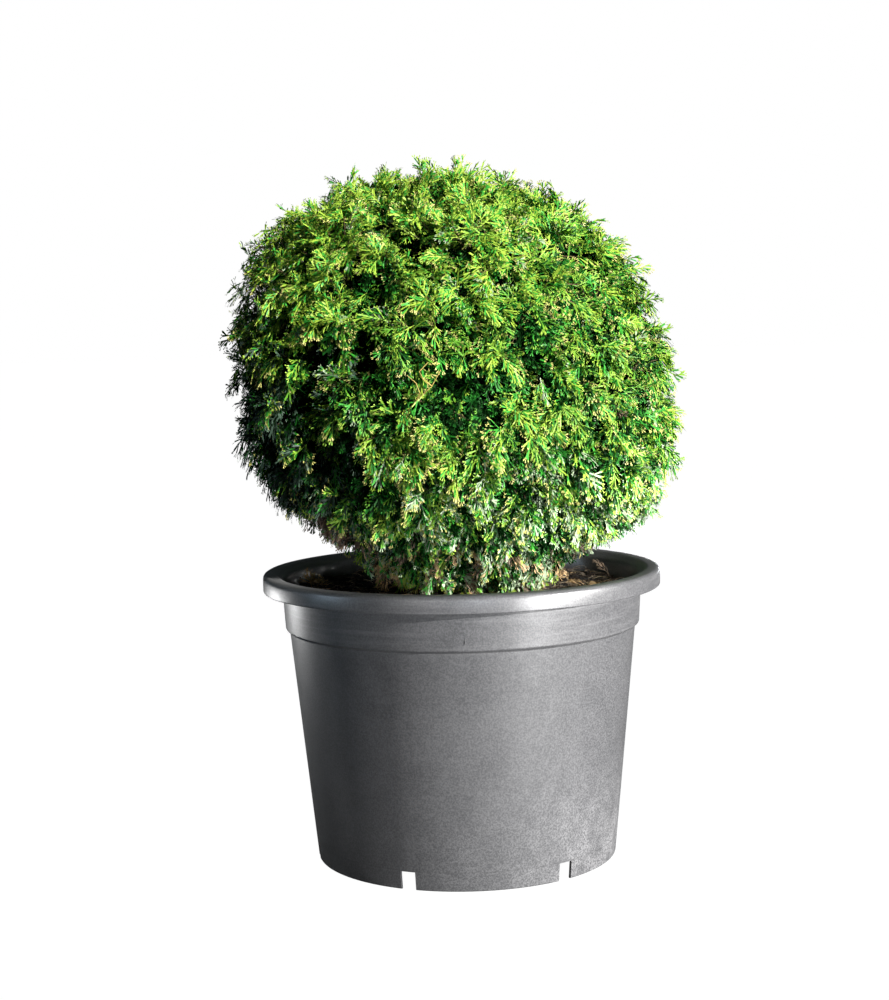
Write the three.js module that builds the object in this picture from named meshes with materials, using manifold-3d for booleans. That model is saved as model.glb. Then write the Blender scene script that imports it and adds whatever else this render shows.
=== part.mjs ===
// A little giant arborvitae in its nursery pot: a moulded plastic pot, the soil that fills it, a short trunk with a
// root flare, the boughs that leave the trunk, and the masses of scaly sprays that together make a round crown.
// Millimetres, +Z up. The origin lies on the ground under the middle of the pot, and -Y is the front.
import * as THREE from "three";
import { mergeVertices } from "three/addons/utils/BufferGeometryUtils.js";
import Module from "manifold-3d";

const wasm = await Module();
wasm.setup();

// The pot
const POT_HEIGHT = 290;
const RIM_RADIUS = 200;
const RIM_DROP = 17;
const RIM_ROUNDING = 4;
const RIM_INNER_RADIUS = 186;
const COLLAR_TOP_RADIUS = 181.5;
const COLLAR_FOOT_RADIUS = 178.5;
const BODY_TOP_RADIUS = 174.5;
const SHOULDER_HEIGHT = 233;
const SHOULDER_STEP = 2;
const BASE_RADIUS = 151.5;
const FOOT_ROUNDING = 2;
const WALL = 3;
const FLOOR_UNDERSIDE = 20;
const POT_SIDES = 40;
const NOTCH_COUNT = 6;
const NOTCH_WIDTH = 15;
const NOTCH_HEIGHT = 18;
const NOTCH_TURN = -112;
const NOTCH_DEPTH = 24;

// The soil
const SOIL_TOP = 268;
const SOIL_RELIEF = 3;
const SOIL_RINGS = 4;
const SOIL_FLAT_RADIUS = 34;
const LONG_WAVE = 22;
const SHORT_WAVE = 12;

// The crown
const CROWN_CENTRE = new THREE.Vector3(1.5, 1, 453);
const CROWN_RADIUS = 233;
const CROWN_RISE = 246;
const CROWN_DROP = 205;
const UPPER_POWER = 2.4;
const LOWER_POWER = 1.7;
const CROWN_LEAN = -0.08;
const CORE_SHARE = 0.81;
const CORE_FOOT_SHARE = 0.44;
const ANCHOR_SHARE = 0.63;
const BOUGH_BEND_SHARE = 0.2;
const BOUGH_END_SHARE = 0.4;

// The trunk
const TRUNK_TOP = 540;
const TRUNK_FOOT_RADIUS = 17;
const TRUNK_TIP_RADIUS = 4.5;
const FLARE = 9;
const FLARE_HEIGHT = 26;
const FLARE_LOBES = 5;
const FLARE_LOBE_DEPTH = 0.35;
const TRUNK_BOW = 6;
const TRUNK_SIDES = 15;
const TRUNK_STEPS = 9;
const GROUND_BLOCK = 200;

// The boughs
const BOUGH_FOOT_RADIUS = 5;
const BOUGH_TIP_RADIUS = 3.2;
const STEM_TIP_RADIUS = 2.4;
const BOUGH_SIDES = 6;
const BOUGH_STEPS = 3;

// The fronds: a twig each, with a flat spray at its end
const FROND_COUNT = 146;
const TWIG_RADIUS = 3;
const TWIG_END_SHARE = 0.83;
const SPRAY_LENGTH = 80;
const SPRAY_SIZES = [1, 0.86, 0.72, 0.6];
const SPRAY_LEAN = 1.6;
const SPRAY_ROLL = 30;
const SPRAY_TURNS = 8;
const SPRAY_END_SHARE = 1.01;
const FINGER_PAIRS = 3;
const FINGER_SPACING = 0.26;
const FINGER_LENGTH = 0.46;
const FINGER_SLANT = 45;
const LAST_FINGERS_SIZE = 0.8;
const SPINE_WIDTH = 0.045;
const SPINE_THICKNESS = 0.022;

// The cores of the masses
const CORE_STEP = 2;
const CORE_TRIALS = 8;
const CORE_LEAN = 0.5;
const CORE_LEAST = 4;
const CORE_ROUGHNESS = 0.08;

// What touching pieces keep between them, and masses keep from each other, the soil and the rim
const GAP = 0.3;
const CELL_MARGIN = 0.5;
const SOIL_CLEARANCE = 5;
const RIM_CLEARANCE = 4;

// The seeded rule, and the smallest distance that two corners of a solid keep
const SEED = 2024;
const SEED_TRIALS = 12;
const FINEST = 0.001;

const OFF_EVERY_LIMB = new THREE.Vector3(0.31, 0.95, 0.05);
const { degToRad: radians, lerp } = THREE.MathUtils;

// A seeded row of numbers from 0 to 1.
function randomRow(seed) {
  let state = seed >>> 0;
  return () => {
    state = (state + 0x6d2b79f5) >>> 0;
    let mixed = Math.imul(state ^ (state >>> 15), state | 1);
    mixed = (mixed + Math.imul(mixed ^ (mixed >>> 7), mixed | 61)) ^ mixed;
    return ((mixed ^ (mixed >>> 14)) >>> 0) / 4294967296;
  };
}

// Three.js geometry to a solid and back
function solidOf(geometry) {
  const bare = new THREE.BufferGeometry();
  bare.setAttribute("position", geometry.getAttribute("position"));
  bare.setIndex(geometry.index);
  const merged = mergeVertices(bare, 1e-4);
  return new wasm.Manifold(
    new wasm.Mesh({
      numProp: 3,
      vertProperties: new Float32Array(merged.getAttribute("position").array),
      triVerts: new Uint32Array(merged.index.array),
    }),
  );
}

function geometryOf(solid) {
  const mesh = solid.getMesh();
  const geometry = new THREE.BufferGeometry();
  geometry.setAttribute("position", new THREE.BufferAttribute(mesh.vertProperties, 3));
  geometry.setIndex(new THREE.BufferAttribute(mesh.triVerts, 1));
  geometry.computeVertexNormals();
  return geometry;
}

// The largest closed body of a solid: loose scraps are dropped, and a sealed hollow is filled.
function largestBody(solid) {
  return solid.decompose().reduce((best, body) => (body.volume() > best.volume() ? body : best));
}

// Whether a solid keeps every triangle when its corners are rounded. A sliver doesn't.
function isSound(solid) {
  const { vertProperties, triVerts } = solid.getMesh();
  const corners = new Map();
  const numbers = [];
  for (let i = 0; i < vertProperties.length; i += 3) {
    const rounded = Array.from(vertProperties.slice(i, i + 3), (value) => Math.round(value / FINEST));
    const key = rounded.join(" ");
    if (!corners.has(key)) corners.set(key, corners.size);
    numbers.push(corners.get(key));
  }
  return corners.size === numbers.length && triVerts.length > 0;
}

// A round limb along a curve, from a cylinder whose rings are moved onto it. radiusAt takes the share of its length and
// the angle around it.
function limbSolid(curve, radiusAt, sides, steps) {
  const geometry = new THREE.CylinderGeometry(1, 1, 1, sides, steps);
  const position = geometry.getAttribute("position");
  const vertex = new THREE.Vector3();
  for (let i = 0; i < position.count; i++) {
    vertex.fromBufferAttribute(position, i);
    const share = THREE.MathUtils.clamp(vertex.y + 0.5, 0, 1);
    const along = curve.getTangent(share);
    const side = OFF_EVERY_LIMB.clone().cross(along).normalize();
    const normal = side.clone().cross(along);
    const radius = radiusAt(share, Math.atan2(vertex.z, vertex.x));
    const point = curve.getPoint(share);
    point.addScaledVector(side, vertex.x * radius).addScaledVector(normal, vertex.z * radius);
    position.setXYZ(i, point.x, point.y, point.z);
  }
  return solidOf(geometry);
}

// A solid of revolution about the pot's axis, from the radius and height of each corner of its outline.
function turnedSolid(outline, reshape = () => {}) {
  const corners = outline.map(([radius, height]) => new THREE.Vector2(radius, height));
  const geometry = new THREE.LatheGeometry(corners, POT_SIDES).rotateX(Math.PI / 2);
  reshape(geometry.getAttribute("position"));
  return solidOf(geometry);
}

// The outer radius of the pot's body below its shoulder.
function bodyRadius(height) {
  return lerp(BASE_RADIUS, BODY_TOP_RADIUS, height / SHOULDER_HEIGHT);
}

// The pot: one turned wall with a rolled rim, a collar that steps in at the shoulder, and a raised floor, with drainage
// notches cut through the skirt that it stands on.
function potSolid() {
  const rimUnderside = POT_HEIGHT - RIM_DROP;
  const floorTop = FLOOR_UNDERSIDE + WALL;
  const collarFoot = SHOULDER_HEIGHT + SHOULDER_STEP;
  let pot = turnedSolid([
    [0, FLOOR_UNDERSIDE],
    [bodyRadius(FLOOR_UNDERSIDE) - WALL, FLOOR_UNDERSIDE],
    [BASE_RADIUS - WALL, 0],
    [BASE_RADIUS - FOOT_ROUNDING / 2, 0],
    [BASE_RADIUS, FOOT_ROUNDING],
    [BODY_TOP_RADIUS, SHOULDER_HEIGHT],
    [COLLAR_FOOT_RADIUS, collarFoot],
    [COLLAR_TOP_RADIUS, POT_HEIGHT - WALL],
    [RIM_RADIUS - WALL, POT_HEIGHT - WALL],
    [RIM_RADIUS - WALL, rimUnderside],
    [RIM_RADIUS - RIM_ROUNDING / 4, rimUnderside],
    [RIM_RADIUS, rimUnderside + RIM_ROUNDING / 2],
    [RIM_RADIUS, POT_HEIGHT - RIM_ROUNDING],
    [RIM_RADIUS - RIM_ROUNDING, POT_HEIGHT],
    [RIM_INNER_RADIUS + RIM_ROUNDING / 2, POT_HEIGHT],
    [RIM_INNER_RADIUS, POT_HEIGHT - RIM_ROUNDING / 2],
    [COLLAR_TOP_RADIUS - WALL, POT_HEIGHT - 2 * WALL],
    [COLLAR_FOOT_RADIUS - WALL, collarFoot],
    [BODY_TOP_RADIUS - WALL, SHOULDER_HEIGHT],
    [bodyRadius(floorTop) - WALL, floorTop],
    [0, floorTop],
  ]);
  for (let i = 0; i < NOTCH_COUNT; i++) {
    const notch = new THREE.BoxGeometry(NOTCH_DEPTH, NOTCH_WIDTH, 2 * NOTCH_HEIGHT)
      .translate(BASE_RADIUS, 0, 0)
      .rotateZ(radians(NOTCH_TURN + (360 / NOTCH_COUNT) * i));
    pot = pot.subtract(solidOf(notch));
  }
  return pot;
}

// The height of the soil's top: uneven, but flat where the trunk stands.
function soilHeight(x, y) {
  const fade = THREE.MathUtils.smoothstep(Math.hypot(x, y), SOIL_FLAT_RADIUS, 2 * SOIL_FLAT_RADIUS);
  const longWave = Math.sin(x / LONG_WAVE) * Math.cos(y / LONG_WAVE);
  const shortWave = Math.sin((x + 2 * y) / SHORT_WAVE);
  return SOIL_TOP + (fade * SOIL_RELIEF * (longWave + shortWave)) / 2;
}

// The soil: fills the pot from its floor, clear of the wall all round.
function soilSolid() {
  const clearance = WALL + 2 * GAP;
  const bottom = FLOOR_UNDERSIDE + WALL + GAP;
  const topRadius = COLLAR_FOOT_RADIUS - clearance;
  const rings = Array.from({ length: SOIL_RINGS }, (_, ring) => [topRadius * (1 - ring / SOIL_RINGS), SOIL_TOP]);
  const outline = [
    [0, bottom],
    [bodyRadius(bottom) - clearance, bottom],
    [BODY_TOP_RADIUS - clearance, SHOULDER_HEIGHT + SHOULDER_STEP / 2],
    [topRadius, SHOULDER_HEIGHT + SHOULDER_STEP + GAP],
    ...rings,
    [0, SOIL_TOP],
  ];
  return turnedSolid(outline, (position) => {
    for (let i = 0; i < position.count; i++) {
      if (position.getZ(i) > SOIL_TOP - SOIL_RELIEF) {
        position.setZ(i, soilHeight(position.getX(i), position.getY(i)));
      }
    }
  });
}

// How far the crown reaches from its centre in a direction, and the point at a share of that reach.
function reach(direction) {
  const [height, power] = direction.z > 0 ? [CROWN_RISE, UPPER_POWER] : [CROWN_DROP, LOWER_POWER];
  const across = Math.hypot(direction.x, direction.y) / CROWN_RADIUS;
  const upwards = Math.abs(direction.z) / height;
  return (across ** power + upwards ** power) ** (-1 / power);
}

function crownPoint(direction, share) {
  const point = direction.clone().multiplyScalar(share * reach(direction));
  point.x += CROWN_LEAN * point.z;
  return point.add(CROWN_CENTRE);
}

function shareOf(point) {
  const from = point.clone().sub(CROWN_CENTRE);
  from.x -= CROWN_LEAN * from.z;
  const distance = from.length();
  return distance / reach(from.normalize());
}

// The direction that leans from straight up by polar, turned from the front towards +X by turn, in degrees.
function directionOf(polar, turn) {
  const across = Math.sin(radians(polar));
  return new THREE.Vector3(
    across * Math.sin(radians(turn)),
    -across * Math.cos(radians(turn)),
    Math.cos(radians(polar)),
  );
}

// The masses, ring by ring from the top down. from is the height where a ring's boughs leave the trunk.
const RINGS = [
  { name: "top", count: 1, polar: 0, turn: 0, from: TRUNK_TOP },
  { name: "upper", count: 5, polar: 44, turn: 20, from: 452 },
  { name: "middle", count: 6, polar: 78, turn: 50, from: 402 },
  { name: "lower", count: 5, polar: 110, turn: 5, from: 352 },
  { name: "skirt", count: 4, polar: 143, turn: 45, from: 312 },
];
const POLAR_JITTER = 4;
const TURN_JITTER = 6;
const FROM_STAGGER = 14;

const draw = randomRow(SEED);
const masses = RINGS.flatMap((ring) =>
  Array.from({ length: ring.count }, (_, i) => {
    const whole = ring.count === 1 ? "" : `_${i + 1}`;
    const polar = ring.polar + (ring.count === 1 ? 0 : POLAR_JITTER * (2 * draw() - 1));
    const turn = ring.turn + (360 / ring.count) * i + TURN_JITTER * (2 * draw() - 1);
    const direction = directionOf(polar, turn);
    return {
      name: `foliage_${ring.name}${whole}`,
      boughName: `bough_${ring.name}${whole}`,
      direction,
      anchor: crownPoint(direction, ANCHOR_SHARE),
      from: ring.from + (i % 2 ? FROM_STAGGER : 0),
      onTrunk: ring.name === "top" || ring.name === "skirt",
      targets: [],
    };
  }),
);

// The trunk: a gentle bow, a taper from foot to tip, and a lobed flare at the soil.
const trunkCurve = new THREE.CatmullRomCurve3([
  new THREE.Vector3(0, 0, SOIL_TOP + GAP),
  new THREE.Vector3(-TRUNK_BOW / 2, TRUNK_BOW / 2, lerp(SOIL_TOP, TRUNK_TOP, 0.3)),
  new THREE.Vector3(-TRUNK_BOW, 0, lerp(SOIL_TOP, TRUNK_TOP, 0.65)),
  new THREE.Vector3(CROWN_CENTRE.x + CROWN_LEAN * (TRUNK_TOP - CROWN_CENTRE.z), CROWN_CENTRE.y, TRUNK_TOP),
]);

function trunkPoint(height) {
  return trunkCurve.getPoint((height - SOIL_TOP) / (TRUNK_TOP - SOIL_TOP));
}

function trunkRadius(share, around) {
  const height = share * (TRUNK_TOP - SOIL_TOP);
  const flare = FLARE * Math.exp((-2 * height) / FLARE_HEIGHT);
  const lobes = 1 + FLARE_LOBE_DEPTH * Math.cos(FLARE_LOBES * around);
  return lerp(TRUNK_FOOT_RADIUS, TRUNK_TIP_RADIUS, share) + flare * lobes;
}

function trunkSolid(growth = 0) {
  const radiusAt = (share, around) => trunkRadius(share, around) + growth;
  const ground = new THREE.BoxGeometry(GROUND_BLOCK, GROUND_BLOCK, GROUND_BLOCK);
  ground.translate(0, 0, SOIL_TOP + GAP - growth - GROUND_BLOCK / 2);
  return limbSolid(trunkCurve, radiusAt, TRUNK_SIDES, TRUNK_STEPS).subtract(solidOf(ground));
}

// A bough: leaves the trunk, rises, and bends over until it points at the middle of its mass.
function boughSolid(mass, growth = 0) {
  const bend = crownPoint(mass.direction, BOUGH_BEND_SHARE);
  const tip = crownPoint(mass.direction, BOUGH_END_SHARE);
  tip.addScaledVector(tip.clone().sub(bend).normalize(), growth / 2);
  const curve = new THREE.QuadraticBezierCurve3(trunkPoint(mass.from), bend, tip);
  const radiusAt = (share) => lerp(BOUGH_FOOT_RADIUS, BOUGH_TIP_RADIUS, share) + growth;
  return limbSolid(curve, radiusAt, BOUGH_SIDES, BOUGH_STEPS);
}

// The stem of a mass: goes on from its bough, or leaves the trunk itself, and ends in the middle of the mass.
function stemSolid(mass) {
  const foot = mass.onTrunk ? trunkPoint(mass.from) : crownPoint(mass.direction, BOUGH_END_SHARE);
  const forwards = mass.anchor.clone().sub(foot).normalize();
  const start = foot.clone().addScaledVector(forwards, mass.onTrunk ? -1 : GAP);
  const radiusAt = (share) => lerp(BOUGH_TIP_RADIUS, STEM_TIP_RADIUS, share);
  return limbSolid(new THREE.LineCurve3(start, mass.anchor), radiusAt, BOUGH_SIDES, 1);
}

// The room of a mass: nearer to its own anchor than to any other, and clear of the soil and the pot's rim.
function inRoom(mass, point) {
  for (const other of masses) {
    if (other === mass) continue;
    const across = other.anchor.clone().sub(mass.anchor);
    const middle = mass.anchor.clone().lerp(other.anchor, 0.5);
    if (point.clone().sub(middle).dot(across.normalize()) > -CELL_MARGIN) return false;
  }
  if (point.z < SOIL_TOP + SOIL_CLEARANCE) return false;
  return point.z > POT_HEIGHT + RIM_CLEARANCE || Math.hypot(point.x, point.y) < BODY_TOP_RADIUS - 2 * RIM_CLEARANCE;
}

// How far a core can reach from its mass's anchor in a direction.
function coreReach(mass, direction) {
  let far = 0;
  while (far < CROWN_RADIUS) {
    const point = mass.anchor.clone().addScaledVector(direction, far + 2 * CORE_STEP);
    const share = shareOf(point);
    if (!inRoom(mass, point) || share > CORE_SHARE || share < CORE_FOOT_SHARE) break;
    far += CORE_STEP;
  }
  return far;
}

// A core: a lump that fills the mass's room between the limbs and the sprays. Each of its corners leans into the
// deepest part of the room near it.
function coreSolid(mass, random) {
  const ball = new THREE.BufferGeometry();
  ball.setAttribute("position", new THREE.IcosahedronGeometry(1, 1).getAttribute("position"));
  const lump = mergeVertices(ball, 1e-3);
  const position = lump.getAttribute("position");
  for (let i = 0; i < position.count; i++) {
    const middle = new THREE.Vector3().fromBufferAttribute(position, i).normalize();
    let best = { far: 0, direction: middle };
    for (let trial = 0; trial < CORE_TRIALS; trial++) {
      const aside = new THREE.Vector3(random() - 0.5, random() - 0.5, random() - 0.5);
      const direction = middle.clone().addScaledVector(aside, trial ? CORE_LEAN : 0).normalize();
      const far = coreReach(mass, direction);
      if (far > best.far) best = { far, direction };
    }
    const length = Math.max(best.far, CORE_LEAST) * (1 - CORE_ROUGHNESS * random());
    const point = mass.anchor.clone().addScaledVector(best.direction, length);
    position.setXYZ(i, point.x, point.y, point.z);
  }
  return solidOf(lump);
}

// The spine of a frond: diamond-shaped sections along the twig, from the middle of its mass to its end, and on along
// the spray that leans over from it. Each section is its left, upper, right and lower corner.
function spineSections(foot, end, heading, sideways, length) {
  const section = (centre, along, width, thickness) => {
    const normal = along.clone().cross(sideways).normalize();
    return [
      centre.clone().addScaledVector(sideways, -width),
      centre.clone().addScaledVector(normal, thickness),
      centre.clone().addScaledVector(sideways, width),
      centre.clone().addScaledVector(normal, -thickness),
    ];
  };
  const twig = end.clone().sub(foot).normalize();
  const sections = [section(foot, twig, TWIG_RADIUS, TWIG_RADIUS)];
  for (let i = 0; i <= FINGER_PAIRS; i++) {
    const along = i ? heading : twig.clone().add(heading);
    const centre = end.clone().addScaledVector(heading, i * FINGER_SPACING * length);
    const taper = 1 - i / (2 * FINGER_PAIRS);
    sections.push(section(centre, along, SPINE_WIDTH * length * taper, SPINE_THICKNESS * length * taper));
  }
  return sections;
}

// The tips of a spray's fingers: a pair for each step of the spine, slanting forwards, and one at its end.
function fingerTips(end, heading, sideways, length) {
  const pairs = [];
  for (let i = 0; i < FINGER_PAIRS; i++) {
    const finger = FINGER_LENGTH * length * (i === FINGER_PAIRS - 1 ? LAST_FINGERS_SIZE : 1);
    const forwards = (i + 0.5) * FINGER_SPACING * length + finger * Math.cos(radians(FINGER_SLANT));
    const between = end.clone().addScaledVector(heading, forwards);
    const aside = sideways.clone().multiplyScalar(finger * Math.sin(radians(FINGER_SLANT)));
    pairs.push([between.clone().sub(aside), between.clone().add(aside)]);
  }
  const last = end.clone().addScaledVector(heading, length * (FINGER_PAIRS * FINGER_SPACING + 0.5 * FINGER_LENGTH));
  return { pairs, last };
}

// A frond as one closed solid: its foot, the four sides of its twig, two fingers on each step of its spray, and the
// last finger. A finger spans the spine's side, upper and lower corners at both ends of its step.
function frondSolid(sections, { pairs, last }) {
  const points = [...sections.flat(), ...pairs.flat(), last];
  const corner = (step, side) => 4 * step + ((side + 4) % 4);
  const firstTip = 4 * sections.length;
  const end = points.length - 1;
  const index = [0, 1, 2, 0, 2, 3];
  for (let side = 0; side < 4; side++) {
    index.push(corner(0, side), corner(1, side), corner(1, side + 1));
    index.push(corner(0, side), corner(1, side + 1), corner(0, side + 1));
    index.push(corner(FINGER_PAIRS + 1, side), end, corner(FINGER_PAIRS + 1, side + 1));
  }
  for (let i = 0; i < FINGER_PAIRS; i++) {
    const near = i + 1;
    const far = i + 2;
    for (const side of [0, 2]) {
      const tip = firstTip + 2 * i + side / 2;
      index.push(corner(near, side), tip, corner(near, side + 1));
      index.push(corner(near, side + 1), tip, corner(far, side + 1));
      index.push(corner(far, side + 1), tip, corner(far, side));
      index.push(corner(near, side - 1), tip, corner(near, side));
      index.push(corner(far, side - 1), tip, corner(near, side - 1));
      index.push(corner(far, side), tip, corner(far, side - 1));
    }
  }
  const geometry = new THREE.BufferGeometry().setFromPoints(points);
  geometry.setIndex(index);
  return solidOf(geometry);
}

// A frond where it fits: the spray turns about the twig's end, and then shrinks, until all of it lies in the mass's
// room. One that fits nowhere is left out.
function fittedFrond(mass, outwards, random) {
  const end = crownPoint(outwards, TWIG_END_SHARE);
  const first = random() * 2 * Math.PI;
  const roll = radians(SPRAY_ROLL) * (2 * random() - 1);
  const across = new THREE.Vector3(1, 0.3, 0.2).cross(outwards).normalize();
  for (const size of inRoom(mass, end) ? SPRAY_SIZES : []) {
    for (let turn = 0; turn < SPRAY_TURNS; turn++) {
      const aside = across.clone().applyAxisAngle(outwards, first + (turn * 2 * Math.PI) / SPRAY_TURNS);
      const heading = outwards.clone().addScaledVector(aside, SPRAY_LEAN).normalize();
      const sideways = heading.clone().cross(outwards).normalize().applyAxisAngle(heading, roll);
      const sections = spineSections(mass.anchor, end, heading, sideways, size * SPRAY_LENGTH);
      const tips = fingerTips(end, heading, sideways, size * SPRAY_LENGTH);
      const outline = [...sections.slice(1).flat(), ...tips.pairs.flat(), tips.last];
      const fits = outline.every((point) => inRoom(mass, point) && shareOf(point) < SPRAY_END_SHARE);
      if (fits) return frondSolid(sections, tips);
    }
  }
  return null;
}

// The twigs' ends are spread evenly over the crown, each in the mass that is nearest to it.
function spreadTargets() {
  const golden = Math.PI * (3 - Math.sqrt(5));
  for (let i = 0; i < FROND_COUNT; i++) {
    const height = 1 - (2 * (i + 0.5)) / FROND_COUNT;
    const across = Math.sqrt(1 - height * height);
    const direction = new THREE.Vector3(across * Math.cos(golden * i), across * Math.sin(golden * i), height);
    const end = crownPoint(direction, TWIG_END_SHARE);
    const nearest = masses.reduce((best, mass) =>
      mass.anchor.distanceTo(end) < best.anchor.distanceTo(end) ? mass : best,
    );
    nearest.targets.push(direction);
  }
}

function massSolid(mass, limbs, seed) {
  const random = randomRow(seed);
  const parts = [coreSolid(mass, random), stemSolid(mass)];
  for (const direction of mass.targets) {
    const frond = fittedFrond(mass, direction, random);
    if (frond) parts.push(frond);
  }
  return largestBody(wasm.Manifold.union(parts).subtract(limbs));
}

// The first seed that leaves no sliver where the pieces of a mass meet.
function soundMass(mass, limbs, number) {
  let solid = null;
  for (let trial = 0; trial < SEED_TRIALS; trial++) {
    solid = massSolid(mass, limbs, SEED + 31 * (number + 1) + 1000 * trial);
    if (isSound(solid)) break;
  }
  return solid;
}

// The finished group
const greyPlastic = new THREE.MeshStandardMaterial({ color: 0x6e6f71, roughness: 0.5, metalness: 0 });
const darkSoil = new THREE.MeshStandardMaterial({ color: 0x1d1712, roughness: 1, metalness: 0 });
const brownBark = new THREE.MeshStandardMaterial({ color: 0x5d4632, roughness: 0.9, metalness: 0 });
const greenScales = new THREE.MeshStandardMaterial({ color: 0x4f8a24, roughness: 0.6, metalness: 0 });

const plant = new THREE.Group();

function addNode(name, solid, material) {
  const mesh = new THREE.Mesh(geometryOf(solid), material);
  mesh.name = name;
  plant.add(mesh);
}

const trunkRoom = trunkSolid(GAP);
const boughMasses = masses.filter((mass) => !mass.onTrunk);
const limbRoom = wasm.Manifold.union([trunkRoom, ...boughMasses.map((mass) => boughSolid(mass, GAP))]);

addNode("pot", potSolid(), greyPlastic);
addNode("soil", soilSolid(), darkSoil);
addNode("trunk", trunkSolid(), brownBark);
for (const mass of boughMasses) {
  addNode(mass.boughName, largestBody(boughSolid(mass).subtract(trunkRoom)), brownBark);
}
spreadTargets();
masses.forEach((mass, number) => addNode(mass.name, soundMass(mass, limbRoom, number), greenScales));

export default plant;
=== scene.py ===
import math

import bmesh
import bpy
import numpy as np
from mathutils import Matrix, Vector
from mathutils import noise as field


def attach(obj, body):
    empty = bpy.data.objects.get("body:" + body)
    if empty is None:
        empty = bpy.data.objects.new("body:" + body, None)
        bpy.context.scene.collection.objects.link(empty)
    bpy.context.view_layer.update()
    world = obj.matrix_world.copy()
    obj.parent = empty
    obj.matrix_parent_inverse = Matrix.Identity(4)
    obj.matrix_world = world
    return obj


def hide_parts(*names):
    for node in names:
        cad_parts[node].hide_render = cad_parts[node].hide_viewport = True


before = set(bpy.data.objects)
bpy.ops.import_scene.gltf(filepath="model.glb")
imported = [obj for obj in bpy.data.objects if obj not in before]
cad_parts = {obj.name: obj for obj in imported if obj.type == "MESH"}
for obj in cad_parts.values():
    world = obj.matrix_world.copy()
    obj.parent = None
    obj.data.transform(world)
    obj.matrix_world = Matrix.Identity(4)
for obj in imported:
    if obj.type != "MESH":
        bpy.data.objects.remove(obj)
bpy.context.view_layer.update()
node_names = sorted(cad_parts)

MM = 0.001
SEED = 2024

# The pot
POT_HEIGHT = 290
RIM_RADIUS = 200
RIM_DROP = 17
RIM_INNER_RADIUS = 186
COLLAR_TOP_RADIUS = 181.5
COLLAR_FOOT_RADIUS = 178.5
BODY_TOP_RADIUS = 174.5
SHOULDER_HEIGHT = 233
BASE_RADIUS = 151.5
WALL = 3
FLOOR_UNDERSIDE = 20
POT_SIDES = 240
NOTCH_COUNT = 6
NOTCH_WIDTH = 15
NOTCH_HEIGHT = 18
NOTCH_TURN = -112
NOTCH_DEPTH = 24
SHOULDER_STEP = 2

# The soil
SOIL_TOP = 268
SOIL_RELIEF = 3
SOIL_FLAT_RADIUS = 34
LONG_WAVE = 22
SHORT_WAVE = 12
SOIL_GAP = 0.6

# The crown
CROWN_CENTRE = np.array([1.5, 1, 453])
CROWN_RADIUS = 233
CROWN_RISE = 246
CROWN_DROP = 205
UPPER_POWER = 2.4
LOWER_POWER = 1.7
CROWN_LEAN = -0.08
ANCHOR_SHARE = 0.63
BOUGH_BEND_SHARE = 0.2
BOUGH_END_SHARE = 0.4
FROND_COUNT = 146

# The trunk and its limbs
TRUNK_TOP = 540
TRUNK_BOW = 6
TRUNK_FOOT_RADIUS = 17
TRUNK_TIP_RADIUS = 4.5
FLARE = 9
FLARE_HEIGHT = 13
BOUGH_FOOT_RADIUS = 5.2
STEM_FOOT_RADIUS = 3.2
STEM_TIP_RADIUS = 2.2


# A seeded row of numbers from 0 to 1, the same as the source's.
def random_row(seed):
    mask = 0xFFFFFFFF
    state = seed & mask

    def draw():
        nonlocal state
        state = (state + 0x6D2B79F5) & mask
        mixed = ((state ^ (state >> 15)) * (state | 1)) & mask
        mixed = (mixed + (((mixed ^ (mixed >> 7)) * (mixed | 61)) & mask)) & mask ^ mixed
        return (mixed ^ (mixed >> 14)) / 4294967296

    return draw


# Rows of vectors
def unit(rows):
    return rows / np.maximum(np.linalg.norm(rows, axis=-1, keepdims=True), 1e-9)


def distances(rows, others):
    return np.linalg.norm(rows - others, axis=-1)


def mixed(first, second, share):
    return first + (second - first) * share


def stepped(values, low, high):
    share = np.clip((values - low) / (high - low), 0, 1)
    return share * share * (3 - 2 * share)


# The crown's reach from its centre in each direction, and the points at a share of that reach.
def reach(directions):
    above = directions[:, 2] > 0
    height = np.where(above, CROWN_RISE, CROWN_DROP)
    power = np.where(above, UPPER_POWER, LOWER_POWER)
    across = np.hypot(directions[:, 0], directions[:, 1]) / CROWN_RADIUS
    upwards = np.abs(directions[:, 2]) / height
    return (across**power + upwards**power) ** (-1 / power)


def crown_points(directions, shares):
    points = directions * (shares * reach(directions))[:, None]
    points[:, 0] += CROWN_LEAN * points[:, 2]
    return points + CROWN_CENTRE


def crown_point(direction, share):
    return crown_points(direction[None, :], share)[0]


def direction_of(polar, turn):
    polar, turn = math.radians(polar), math.radians(turn)
    across = math.sin(polar)
    return np.array([across * math.sin(turn), -across * math.cos(turn), math.cos(polar)])


# Directions spread evenly over a ball.
def spread(count):
    golden = math.pi * (3 - math.sqrt(5))
    number = np.arange(count)
    height = 1 - 2 * (number + 0.5) / count
    across = np.sqrt(1 - height**2)
    return np.stack([across * np.cos(golden * number), across * np.sin(golden * number), height], axis=1)


# The masses, ring by ring from the top down: name, count, polar angle, turn, and the height at which their
# boughs leave the trunk
RINGS = [
    ("top", 1, 0, 0, TRUNK_TOP),
    ("upper", 5, 44, 20, 452),
    ("middle", 6, 78, 50, 402),
    ("lower", 5, 110, 5, 352),
    ("skirt", 4, 143, 45, 312),
]
POLAR_JITTER = 4
TURN_JITTER = 6
FROM_STAGGER = 14


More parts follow.
